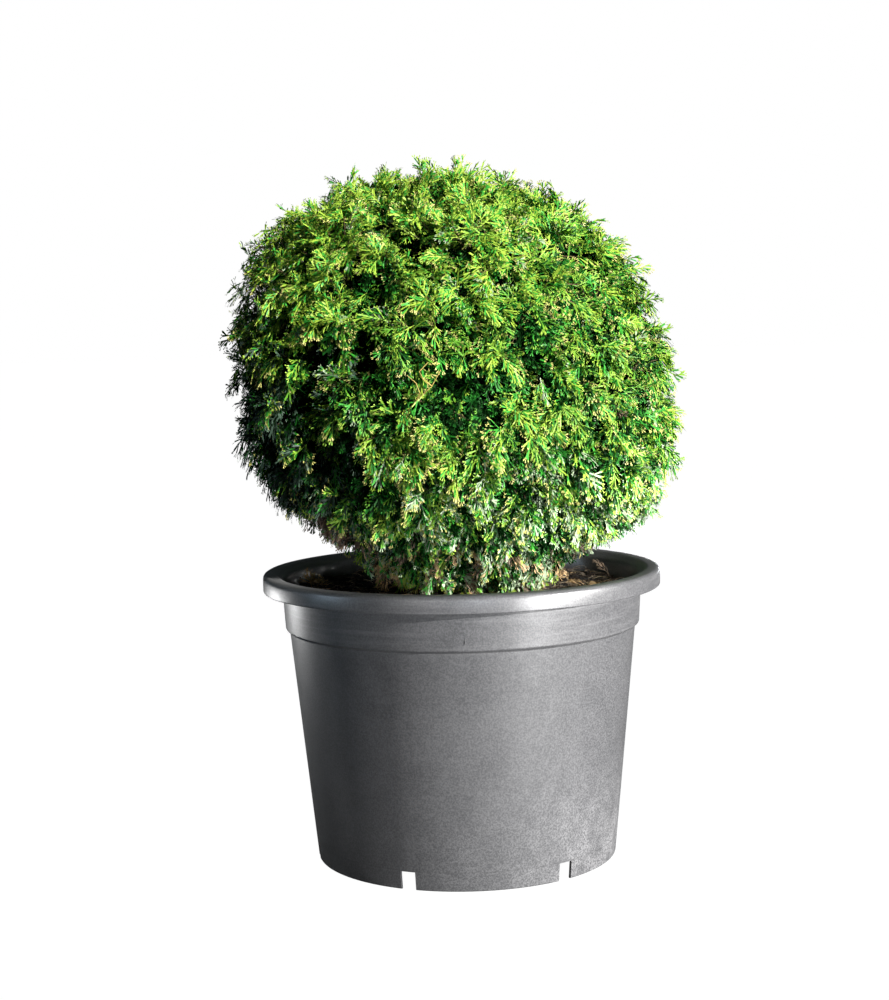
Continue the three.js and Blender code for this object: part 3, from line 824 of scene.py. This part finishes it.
# Coarser sprays deep in the crown close it against the sky. Where little light comes, they take the two
# darkest tints as painted shade, or the dead one near the dead patch.
INNER_COUNT = 1700
INNER_SHARES = (0.50, 0.70)
INNER_LENGTHS = (42, 58)
INNER_KINDS = 4
INNER_WIDTH = 0.045
INNER_DROOP = 0.1
INNER_PULL = 0.6
INNER_SWING = 0.7
INNER_DEAD_RADIUS = 1.6 * DEAD_RADIUS
INNER_SHADE_SHARE = 0.35

inner_feet = crown_points(spread(INNER_COUNT), rng.uniform(*INNER_SHARES, INNER_COUNT))
inner_outwards = unit(inner_feet - CROWN_CENTRE)
inner_headings = unit(INNER_PULL * inner_outwards + scatter(INNER_SWING, INNER_COUNT))
inner_facings = unit(inner_outwards + scatter(FACING_SWING, INNER_COUNT))
inner_sizes = rng.uniform(*INNER_LENGTHS, INNER_COUNT)
inner_tips = inner_feet + inner_headings * inner_sizes[:, None]
inner_kept = inside_underside(inner_feet) & inside_underside(inner_tips)
inner_dead = distances(inner_feet, DEAD_PLACE) < INNER_DEAD_RADIUS
inner_tint = np.where(inner_dead, DEAD, (rng.random(INNER_COUNT) < INNER_SHADE_SHARE).astype(int))
inner_tints = np.stack([inner_tint] * 3, axis=1)
inner_seeds = range(SEED + 500, SEED + 500 + INNER_KINDS)
inner_templates = [spray_template(random_row(seed), 7, INNER_WIDTH, False) for seed in inner_seeds]
inner_chosen = rng.integers(0, len(inner_templates), INNER_COUNT)
inner_droops = np.full(INNER_COUNT, INNER_DROOP)

# Fallen sprays on the soil, and two straw-coloured tufts, on its right and on its left
FALLEN_COUNT = 150
FALLEN_RADIUS = 172
FALLEN_LIMIT = 171
FALLEN_LENGTHS = (11, 26)
FALLEN_DROOP = 0.05
TUFT_PLACES = np.repeat([[104, 38, SOIL_TOP + 3], [-148, 26, SOIL_TOP + 3]], (9, 6), axis=0)
TUFT_COUNT = len(TUFT_PLACES)

fallen_x, fallen_y = strewn(FALLEN_COUNT, FALLEN_RADIUS, 0.1)
fallen_feet = np.stack([fallen_x, fallen_y, SOIL_TOP + rng.uniform(2, 7, FALLEN_COUNT)], axis=1)
fallen_feet[:TUFT_COUNT] = TUFT_PLACES + scatter(5, TUFT_COUNT) * (1, 1, 0.2)
fallen_headings = unit(scatter(1, FALLEN_COUNT) * (1, 1, 0.12))
fallen_headings[:TUFT_COUNT] = unit(scatter(0.5, TUFT_COUNT) + (-0.6, -0.2, 0.7))
fallen_facings = unit(scatter(0.35, FALLEN_COUNT) + (0, 0, 1))
fallen_facings[:TUFT_COUNT] = unit(scatter(0.4, TUFT_COUNT) + (0.3, -1, 0.2))
fallen_sizes = rng.uniform(*FALLEN_LENGTHS, FALLEN_COUNT)
fallen_tips = fallen_feet + fallen_headings * fallen_sizes[:, None]
furthest = np.maximum(np.hypot(*fallen_tips[:, :2].T), np.hypot(*fallen_feet[:, :2].T))
fallen_kept = furthest < FALLEN_LIMIT
fallen_tint = np.where(rng.random(FALLEN_COUNT) < 0.3, STRAW, DEAD)
fallen_tint[:TUFT_COUNT] = STRAW
fallen_tints = np.stack([fallen_tint] * 3, axis=1)
fallen_chosen = rng.integers(0, len(templates), FALLEN_COUNT)
fallen_droops = np.full(FALLEN_COUNT, FALLEN_DROOP)

# Each set's templates, which of them a spray has, whether it is kept, its tints, and how it is set in
SPRAY_SETS = (
    (templates, chosen, kept, tints, (spray_feet, headings, facings, sizes, droops)),
    (inner_templates, inner_chosen, inner_kept, inner_tints,
     (inner_feet, inner_headings, inner_facings, inner_sizes, inner_droops)),
    (templates, fallen_chosen, fallen_kept, fallen_tints,
     (fallen_feet, fallen_headings, fallen_facings, fallen_sizes, fallen_droops)),
)


# The corners and triangles of a set's sprays, as far as they have a tint
def dealt_to(tint, kinds, chosen, kept, tints, places):
    found = []
    for number, (corners, rows) in enumerate(kinds):
        for part, triangles in enumerate(rows):
            used = np.unique(triangles)
            dealt = np.flatnonzero(kept & (chosen == number) & (tints[:, part] == tint))
            if len(dealt):
                set_in = placed(corners[used], *(rows_of[dealt] for rows_of in places))
                first = (np.arange(len(dealt)) * len(used))[:, None, None]
                renumbered = np.searchsorted(used, triangles)[None] + first
                found.append((set_in.reshape(-1, 3), renumbered.reshape(-1, 3)))
    return found


def sprays_of(tint):
    return joined([sprays for spray_set in SPRAY_SETS for sprays in dealt_to(tint, *spray_set)])


# One piece for each tint, or more where it would have too many triangles
MOST_TRIANGLES = 190000
foliage_nodes = [name for name in node_names if name.startswith("foliage_")]
for tint, (name, (colour, gloss)) in enumerate(TINTS.items()):
    corners, triangles = sprays_of(tint)
    material = scale_material(f"foliage_{name}", colour, gloss)
    shares = math.ceil(len(triangles) / MOST_TRIANGLES)
    for number, rows in enumerate(np.array_split(triangles, shares)):
        used, renumbered = np.unique(rows, return_inverse=True)
        ending = f"_{number + 1}" if shares > 1 else ""
        piece = mesh_piece(f"sprays_{name}{ending}", corners[used], renumbered.reshape(-1, 3), material)
        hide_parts(*foliage_nodes)

# Twigs
TWIG_STEPS = 6
TWIG_WANDER = 4
TWIG_RADII = (1.8, 0.8)
FINE_RADII = (1.0, 0.5)

twig_bark = bark_material("twig_bark", (0.050, 0.032, 0.016), (0.130, 0.085, 0.040))
main_bends = mixed(twig_starts, twig_ends, 0.5) + scatter(TWIG_WANDER, FROND_COUNT)
main_paths = arcs(twig_starts, main_bends, twig_ends, TWIG_STEPS)
main_kept = inside_underside(twig_ends)
main_radii = np.tile(np.linspace(*TWIG_RADII, TWIG_STEPS), (FROND_COUNT, 1))
fine_radii = np.tile(np.linspace(*FINE_RADII, FINE_STEPS), (FINE_COUNT, 1))
corners, triangles = joined([
    tubes(main_paths[main_kept], main_radii[main_kept], 5),
    tubes(fine_paths[fine_kept], fine_radii[fine_kept], 3),
])
twigs = mesh_piece("twigs", corners, triangles, twig_bark, smooth=True)
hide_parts(*foliage_nodes)

# A bare golden twig with two side twigs, out in front of the crown
GOLDEN_RADII = (0.65, 0.35)
GOLDEN_LINES = (
    ((-44, -196, 460), (-37, -219, 469), (-22, -228, 482), (-14, -226, 496)),
    ((-22, -228, 482), (-29, -230, 487), (-33, -229, 495), (-25, -224, 503)),
    ((-37, -219, 469), (-33, -228, 476), (-36, -231, 485), (-44, -229, 492)),
)

golden_bark = bark_material("golden_bark", (0.260, 0.190, 0.040), (0.520, 0.420, 0.110))
golden_paths = np.array(GOLDEN_LINES, float)
golden_radii = np.tile(np.linspace(*GOLDEN_RADII, golden_paths.shape[1]), (len(golden_paths), 1))
golden = mesh_piece("twig_golden", *tubes(golden_paths, golden_radii, 5), golden_bark, smooth=True)
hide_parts(*foliage_nodes)


# Limbs with the relief of bark, in ridges that run along them
RIDGE_SCALE = np.array([0.25, 0.25, 0.05])
TRUNK_RELIEF = 1.2
BOUGH_RELIEF = 0.5
STEM_RELIEF = 0.4


def limb(line, radii, sides, relief):
    corners, triangles = tubes(line[None, :, :], radii[None, :], sides)
    centre = np.repeat(line, sides, axis=0)
    for i, corner in enumerate(corners):
        ridge = field.fractal(Vector(corner * RIDGE_SCALE), 0.8, 2.0, 3)
        corners[i] += relief * ridge * unit(corner - centre[i])
    return corners, triangles


bark = bark_material("bark", (0.045, 0.028, 0.018), (0.180, 0.125, 0.085))
share = np.linspace(0, 1, len(trunk_line))
heights = share * (TRUNK_TOP - SOIL_TOP)
trunk_radii = mixed(TRUNK_FOOT_RADIUS, TRUNK_TIP_RADIUS, share) + FLARE * np.exp(-heights / FLARE_HEIGHT)
trunk = mesh_piece("trunk_bark", *limb(trunk_line, trunk_radii, 36, TRUNK_RELIEF), bark, smooth=True)
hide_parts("trunk")


# A mass's stem, which starts at the trunk, or at the tip of a bough that bends outwards from it
def limb_of(mass):
    foot = trunk_point(mass["from"])
    if mass["on_trunk"]:
        line = np.linspace(foot, mass["anchor"], 14)
        return limb(line, np.linspace(STEM_FOOT_RADIUS, STEM_TIP_RADIUS, len(line)), 10, STEM_RELIEF)
    bend = crown_point(mass["direction"], BOUGH_BEND_SHARE)
    tip = crown_point(mass["direction"], BOUGH_END_SHARE)
    bough = arcs(foot[None], bend[None], tip[None], 20)[0]
    line = np.vstack([bough, np.linspace(tip, mass["anchor"], 10)[1:]])
    return limb(line, np.linspace(BOUGH_FOOT_RADIUS, STEM_TIP_RADIUS, len(line)), 12, BOUGH_RELIEF)


boughs = mesh_piece("boughs_bark", *joined([limb_of(mass) for mass in masses]), bark, smooth=True)
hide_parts(*[name for name in node_names if name.startswith("bough_")])


# The pot: a turned wall, with notches cut through its foot
def body_radius(height):
    return mixed(BASE_RADIUS, BODY_TOP_RADIUS, height / SHOULDER_HEIGHT)


# An outline whose corners, each a radius from the axis, a height and a size, are rounded off by that size
def rounded(outline, steps=5):
    corners = [np.array(row[:2], float) for row in outline]
    points = []
    for i in range(1, len(corners) - 1):
        corner = corners[i]
        before = corners[i - 1] - corner
        after = corners[i + 1] - corner
        size = min(outline[i][2], 0.45 * np.linalg.norm(before), 0.45 * np.linalg.norm(after))
        start = corner + before / np.linalg.norm(before) * size
        end = corner + after / np.linalg.norm(after) * size
        points.extend(arcs(start[None], corner[None], end[None], steps)[0])
    return [corners[0], *points, corners[-1]]


def pot_outline():
    underside = POT_HEIGHT - RIM_DROP
    floor_top = FLOOR_UNDERSIDE + WALL
    collar_foot = SHOULDER_HEIGHT + SHOULDER_STEP
    return rounded([
        (0, FLOOR_UNDERSIDE),
        (body_radius(FLOOR_UNDERSIDE) - WALL, FLOOR_UNDERSIDE, 1.5),
        (BASE_RADIUS - WALL, 0, 1),
        (BASE_RADIUS, 0, 2.5),
        (BODY_TOP_RADIUS, SHOULDER_HEIGHT, 1.0),
        (COLLAR_FOOT_RADIUS, collar_foot, 1.4),
        (COLLAR_TOP_RADIUS, POT_HEIGHT - WALL, 1.5),
        (RIM_RADIUS - WALL, POT_HEIGHT - WALL, 2),
        (RIM_RADIUS - WALL, underside, 1),
        (RIM_RADIUS, underside, 1.2),
        (RIM_RADIUS, POT_HEIGHT, 5),
        (RIM_INNER_RADIUS, POT_HEIGHT, 3),
        (COLLAR_TOP_RADIUS - WALL, POT_HEIGHT - 2 * WALL, 3),
        (COLLAR_FOOT_RADIUS - WALL, collar_foot, 1.5),
        (BODY_TOP_RADIUS - WALL, SHOULDER_HEIGHT, 1.5),
        (body_radius(floor_top) - WALL, floor_top, 2),
        (0, floor_top),
    ])


def mesh_of(shape, name):
    mesh = bpy.data.meshes.new(name)
    shape.to_mesh(mesh)
    shape.free()
    return mesh


def turned_mesh(name, outline, sides):
    shape = bmesh.new()
    angles = np.arange(sides) * 2 * math.pi / sides
    rings = []
    for radius, height in outline:
        places = [(radius * math.cos(a) * MM, radius * math.sin(a) * MM, height * MM) for a in angles]
        rings.append([shape.verts.new(place) for place in (places if radius else places[:1])])
    for low, high in zip(rings, rings[1:]):
        for i in range(sides):
            j = (i + 1) % sides
            if len(low) == 1:
                shape.faces.new([low[0], high[j], high[i]])
            elif len(high) == 1:
                shape.faces.new([low[i], low[j], high[0]])
            else:
                shape.faces.new([low[i], low[j], high[j], high[i]])
    bmesh.ops.recalc_face_normals(shape, faces=shape.faces)
    return mesh_of(shape, name)


def box_mesh(name, boxes):
    shape = bmesh.new()
    for matrix in boxes:
        bmesh.ops.create_cube(shape, size=1, matrix=matrix)
    return mesh_of(shape, name)


SHARP_FROM = 32


def make_pot():
    pot = bpy.data.objects.new("pot_shell", turned_mesh("pot_shell", pot_outline(), POT_SIDES))
    size = Matrix.Diagonal((NOTCH_DEPTH * MM, NOTCH_WIDTH * MM, 2 * NOTCH_HEIGHT * MM, 1))
    boxes = []
    for i in range(NOTCH_COUNT):
        turn = Matrix.Rotation(math.radians(NOTCH_TURN + 360 / NOTCH_COUNT * i), 4, "Z")
        boxes.append(turn @ Matrix.Translation((BASE_RADIUS * MM, 0, 0)) @ size)
    cutter = bpy.data.objects.new("notches", box_mesh("notches", boxes))
    for piece in (pot, cutter):
        bpy.context.scene.collection.objects.link(piece)
    cut = pot.modifiers.new("cut", "BOOLEAN")
    cut.operation = "DIFFERENCE"
    cut.solver = "EXACT"
    cut.object = cutter
    bpy.context.view_layer.update()
    finished = bpy.data.meshes.new_from_object(pot.evaluated_get(bpy.context.evaluated_depsgraph_get()))
    pot.modifiers.clear()
    pot.data = finished
    bpy.data.objects.remove(cutter)
    pot.data.shade_smooth()
    pot.data.set_sharp_from_angle(angle=math.radians(SHARP_FROM))
    return dressed(pot, plastic_material())


pot = make_pot()
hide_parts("pot")


# The soil's top, and its side down inside the pot
def soil_height(x, y):
    fade = stepped(np.hypot(x, y), SOIL_FLAT_RADIUS, 2 * SOIL_FLAT_RADIUS)
    long_wave = np.sin(x / LONG_WAVE) * np.cos(y / LONG_WAVE)
    short_wave = np.sin((x + 2 * y) / SHORT_WAVE)
    return SOIL_TOP + fade * SOIL_RELIEF * (long_wave + short_wave) / 2


SOIL_RINGS = 90
SOIL_SIDES = 260
SOIL_FOOT = 24
CRUMB_SCALE = 0.12
CRUMB_HEIGHT = 2.4


def make_soil():
    rings, sides = SOIL_RINGS, SOIL_SIDES
    clearance = WALL + SOIL_GAP
    radii = np.linspace(0, COLLAR_FOOT_RADIUS - clearance, rings + 1)[1:]
    angles = np.arange(sides) * 2 * math.pi / sides
    x = (radii[:, None] * np.cos(angles)).ravel()
    y = (radii[:, None] * np.sin(angles)).ravel()
    z = soil_height(x, y)
    for i in range(len(x)):
        z[i] += CRUMB_HEIGHT * field.fractal(Vector((x[i] * CRUMB_SCALE, y[i] * CRUMB_SCALE, 3)), 0.6, 2.0, 4)
    lower = [(BODY_TOP_RADIUS - clearance, SHOULDER_HEIGHT), (body_radius(SOIL_FOOT) - clearance, SOIL_FOOT)]
    wall = [np.stack([r * np.cos(angles), r * np.sin(angles), np.full(sides, h)], 1) for r, h in lower]
    corners = np.vstack([[[0, 0, SOIL_TOP]], np.stack([x, y, z], 1), *wall, [[0, 0, SOIL_FOOT]]])
    triangles = []
    for i in range(sides):
        j = (i + 1) % sides
        triangles.append([0, 1 + i, 1 + j])
        for ring in range(rings + 1):
            a, b = 1 + ring * sides + i, 1 + ring * sides + j
            triangles.extend([[a, a + sides, b + sides], [a, b + sides, b]])
        last = 1 + (rings + 1) * sides
        triangles.append([last + i, len(corners) - 1, last + j])
    return mesh_piece("soil_mix", corners, np.array(triangles), soil_material(), smooth=True)


soil = make_soil()
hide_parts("soil")


# Fibres and chips of bark on the soil
FIBRE_COUNT = 520
FIBRE_LENGTHS = (8, 34)
FIBRE_RADII = (0.22, 0.5)
CHIP_COUNT = 700
CHIP_SIZES = ((1.5, 5), (0.8, 2.4), (0.4, 1.1))
LITTER_RADIUS = 170


def on_soil(count, low, high):
    x, y = strewn(count, LITTER_RADIUS, 0.03)
    return np.stack([x, y, soil_height(x, y) + rng.uniform(low, high, count)], axis=1)


def make_fibres(name, count, material):
    starts = on_soil(count, 0.5, 3)
    turn = rng.uniform(0, 2 * math.pi, count)
    length = rng.uniform(*FIBRE_LENGTHS, count)
    rise = rng.uniform(-1, 3, count)
    ends = starts + np.stack([length * np.cos(turn), length * np.sin(turn), rise], axis=1)
    held = np.hypot(ends[:, 0], ends[:, 1]) < LITTER_RADIUS
    starts, ends, length = starts[held], ends[held], length[held]
    bends = mixed(starts, ends, 0.5) + scatter(0.22, len(starts)) * length[:, None]
    bends[:, 2] = starts[:, 2] + rng.uniform(1, 7, len(starts))
    radii = np.tile(rng.uniform(*FIBRE_RADII, (len(starts), 1)), (1, 6))
    fibres = mesh_piece(name, *tubes(arcs(starts, bends, ends, 6), radii, 4), material, smooth=True)
    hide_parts("soil")


# A box's corners, and the two triangles of each of its sides
BOX_CORNERS = np.array([[x, y, z] for x in (-1, 1) for y in (-1, 1) for z in (-1, 1)], float)
BOX_SIDES = ((0, 1, 3, 2), (4, 6, 7, 5), (0, 4, 5, 1), (2, 3, 7, 6), (0, 2, 6, 4), (1, 5, 7, 3))
BOX_TRIANGLES = np.array([half for a, b, c, d in BOX_SIDES for half in ((a, b, c), (a, c, d))])


def make_chips(name, count, material):
    sizes = np.stack([rng.uniform(*size, count) for size in CHIP_SIZES], axis=1)
    along = unit(scatter(1, count) * (1, 1, 0.35))
    across = unit(np.cross(along, unit(scatter(0.4, count) + (0, 0, 1))))
    rows = np.stack([along, across, np.cross(along, across)], axis=1)
    shaped = BOX_CORNERS[None] * sizes[:, None, :] * rng.uniform(0.6, 1.1, (count, 8, 3))
    corners = on_soil(count, 0, 2.5)[:, None, :] + np.einsum("nck,nkj->ncj", shaped, rows)
    triangles = BOX_TRIANGLES[None] + (8 * np.arange(count))[:, None, None]
    chips = mesh_piece(name, corners.reshape(-1, 3), triangles.reshape(-1, 3), material)
    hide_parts("soil")


make_fibres("fibres_dark", FIBRE_COUNT, litter_material("dark_fibre", (0.050, 0.033, 0.022)))
make_fibres("fibres_pale", FIBRE_COUNT // 2, litter_material("pale_fibre", (0.340, 0.270, 0.190)))
make_chips("chips_dark", CHIP_COUNT, litter_material("dark_chip", (0.030, 0.020, 0.014)))
make_chips("chips_pale", CHIP_COUNT // 5, litter_material("pale_chip", (0.210, 0.165, 0.125)))

# The mould's seam, a low upright ridge on the collar
SEAM = (0.5, 0.35, 16)
SEAM_HEIGHT = 250
SEAM_SHIFT = 2

up_the_collar = (SEAM_HEIGHT - SHOULDER_HEIGHT) / (POT_HEIGHT - SHOULDER_HEIGHT)
seam_radius = mixed(COLLAR_FOOT_RADIUS, COLLAR_TOP_RADIUS, up_the_collar)
seam_place = Matrix.Translation((SEAM_SHIFT * MM, -seam_radius * MM, SEAM_HEIGHT * MM))
seam_size = Matrix.Diagonal((*(side * MM for side in SEAM), 1))
seam = bpy.data.objects.new("mould_seam", box_mesh("mould_seam", [seam_place @ seam_size]))
dressed(seam, pot.data.materials[0])
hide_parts("pot")


# The camera where the photograph was taken from
CAMERA_PLACE = (0, -1.901, 0.5396)
CAMERA_PITCH = 0.0947
CAMERA_YAW = 0.008
CAMERA_ROLL = -0.0235
FOCAL_PIXELS = 1892.65
LONG_SIDE = 1000
SENSOR = 36

camera = bpy.data.objects.new("camera", bpy.data.cameras.new("camera"))
bpy.context.scene.collection.objects.link(camera)
camera.data.sensor_width = SENSOR
camera.data.lens = FOCAL_PIXELS / LONG_SIDE * SENSOR
camera.matrix_world = (
    Matrix.Translation(CAMERA_PLACE)
    @ Matrix.Rotation(CAMERA_YAW, 4, "Z")
    @ Matrix.Rotation(math.pi / 2 - CAMERA_PITCH, 4, "X")
    @ Matrix.Rotation(CAMERA_ROLL, 4, "Z")
)
bpy.context.scene.camera = camera


# A lamp that shines along a direction
def add_lamp(name, light, place, towards, power, colour):
    light.energy = power
    light.color = colour
    lamp = bpy.data.objects.new(name, light)
    lamp.location = place
    lamp.rotation_euler = towards.to_track_quat("-Z", "Y").to_euler()
    lamp.visible_camera = False
    bpy.context.scene.collection.objects.link(lamp)


# Area lights, each with its place, what it is aimed at, its size, its power and its colour: a low fill behind
# the plant, a small low lamp on the right whose reflection is the soft band on the pot, and one behind on the
# left that lights the pot's edge
AREA_LIGHTS = (
    ("back_fill", (0.6, 3, 0.1), (0, 0, 0.4), (1.2, 0.3), 26, (0.90, 0.96, 1)),
    ("strip", (1.38, -1.45, 0.06), (0, 0, 0.15), (0.08, 0.10), 36, (1, 1, 1)),
    ("edge", (-1.04, 0.76, 0.06), (0, 0, 0.14), (0.05, 0.1), 2.8, (1, 1, 1)),
)


def area_light(name, place, target, size, power, colour):
    light = bpy.data.lights.new(name, "AREA")
    light.shape = "RECTANGLE"
    light.size, light.size_y = size
    add_lamp(name, light, place, Vector(target) - Vector(place), power, colour)


# Spots aimed at a height on the pot's axis, each with its turn to the right of the camera, its rise above the
# level, that height, its cone, its blend, its power, its colour and its radius: a key for the crown and one
# for the pot, and soft fills for the pot, for the crown's left in a sky's blue, and for its skirt
SPOT_DISTANCE = 4
SPOT_LIGHTS = (
    ("crown_key", 39, 23, 0.53, 8.4, 0.2, 1980, (1, 0.98, 0.92), 0.035),
    ("pot_key", 62, 12, 0.14, 7.8, 0.35, 1680, (1, 0.98, 0.97), 0.035),
    ("pot_fill", -20, 8, 0.09, 6.6, 0.4, 150, (1, 0.98, 0.98), 0.15),
    ("sky", -80, 3, 0.47, 6.3, 0.3, 330, (0.60, 0.80, 1), 0.4),
    ("skirt_fill", 8, 2, 0.325, 2.2, 0.8, 330, (0.86, 0.92, 1), 0.1),
)


def spot_light(name, turn, rise, height, degrees, blend, power, colour, radius):
    light = bpy.data.lights.new(name, "SPOT")
    light.spot_size = math.radians(degrees)
    light.spot_blend = blend
    light.shadow_soft_size = radius
    turn, rise = math.radians(turn), math.radians(rise)
    away = Vector((math.sin(turn) * math.cos(rise), -math.cos(turn) * math.cos(rise), math.sin(rise)))
    add_lamp(name, light, Vector((0, 0, height)) + SPOT_DISTANCE * away, -away, power, colour)


for values in SPOT_LIGHTS:
    spot_light(*values)
for values in AREA_LIGHTS:
    area_light(*values)


# The studio: a faint cool light from all round, and white where the camera sees it
WORLD_COLOUR = (0.80, 0.97, 1.0)
WORLD_STRENGTH = 0.04


def make_world():
    world = bpy.data.worlds.new("studio")
    bpy.context.scene.world = world
    world.use_nodes = True
    tree = world.node_tree
    tree.nodes.clear()
    path = tree.nodes.new("ShaderNodeLightPath")
    mix = tree.nodes.new("ShaderNodeMixShader")
    output = tree.nodes.new("ShaderNodeOutputWorld")
    for number, colour, strength in ((1, WORLD_COLOUR, WORLD_STRENGTH), (2, (1, 1, 1), 1)):
        background = tree.nodes.new("ShaderNodeBackground")
        background.inputs["Color"].default_value = (*colour, 1)
        background.inputs["Strength"].default_value = strength
        tree.links.new(background.outputs["Background"], mix.inputs[number])
    tree.links.new(path.outputs["Is Camera Ray"], mix.inputs["Fac"])
    tree.links.new(mix.outputs["Shader"], output.inputs["Surface"])


make_world()
bpy.context.scene.view_settings.view_transform = "Standard"


# The floor: plain, and pale to the camera
FLOOR_RADIUS = 30
FLOOR_GREY = (0.10, 0.10, 0.10)


def make_floor():
    shape = bmesh.new()
    bmesh.ops.create_circle(shape, cap_ends=True, segments=128, radius=FLOOR_RADIUS)
    nodes = Nodes("floor")
    nodes.surface("Base Color", FLOOR_GREY)
    nodes.surface("Roughness", 1)
    nodes.surface("Specular IOR Level", 0)
    nodes.surface("Emission Color", (1, 1, 1))
    nodes.surface("Emission Strength", nodes.add("ShaderNodeLightPath").outputs["Is Camera Ray"])
    floor = bpy.data.objects.new("floor", mesh_of(shape, "floor"))
    floor.data.materials.append(nodes.material)
    bpy.context.scene.collection.objects.link(floor)


make_floor()
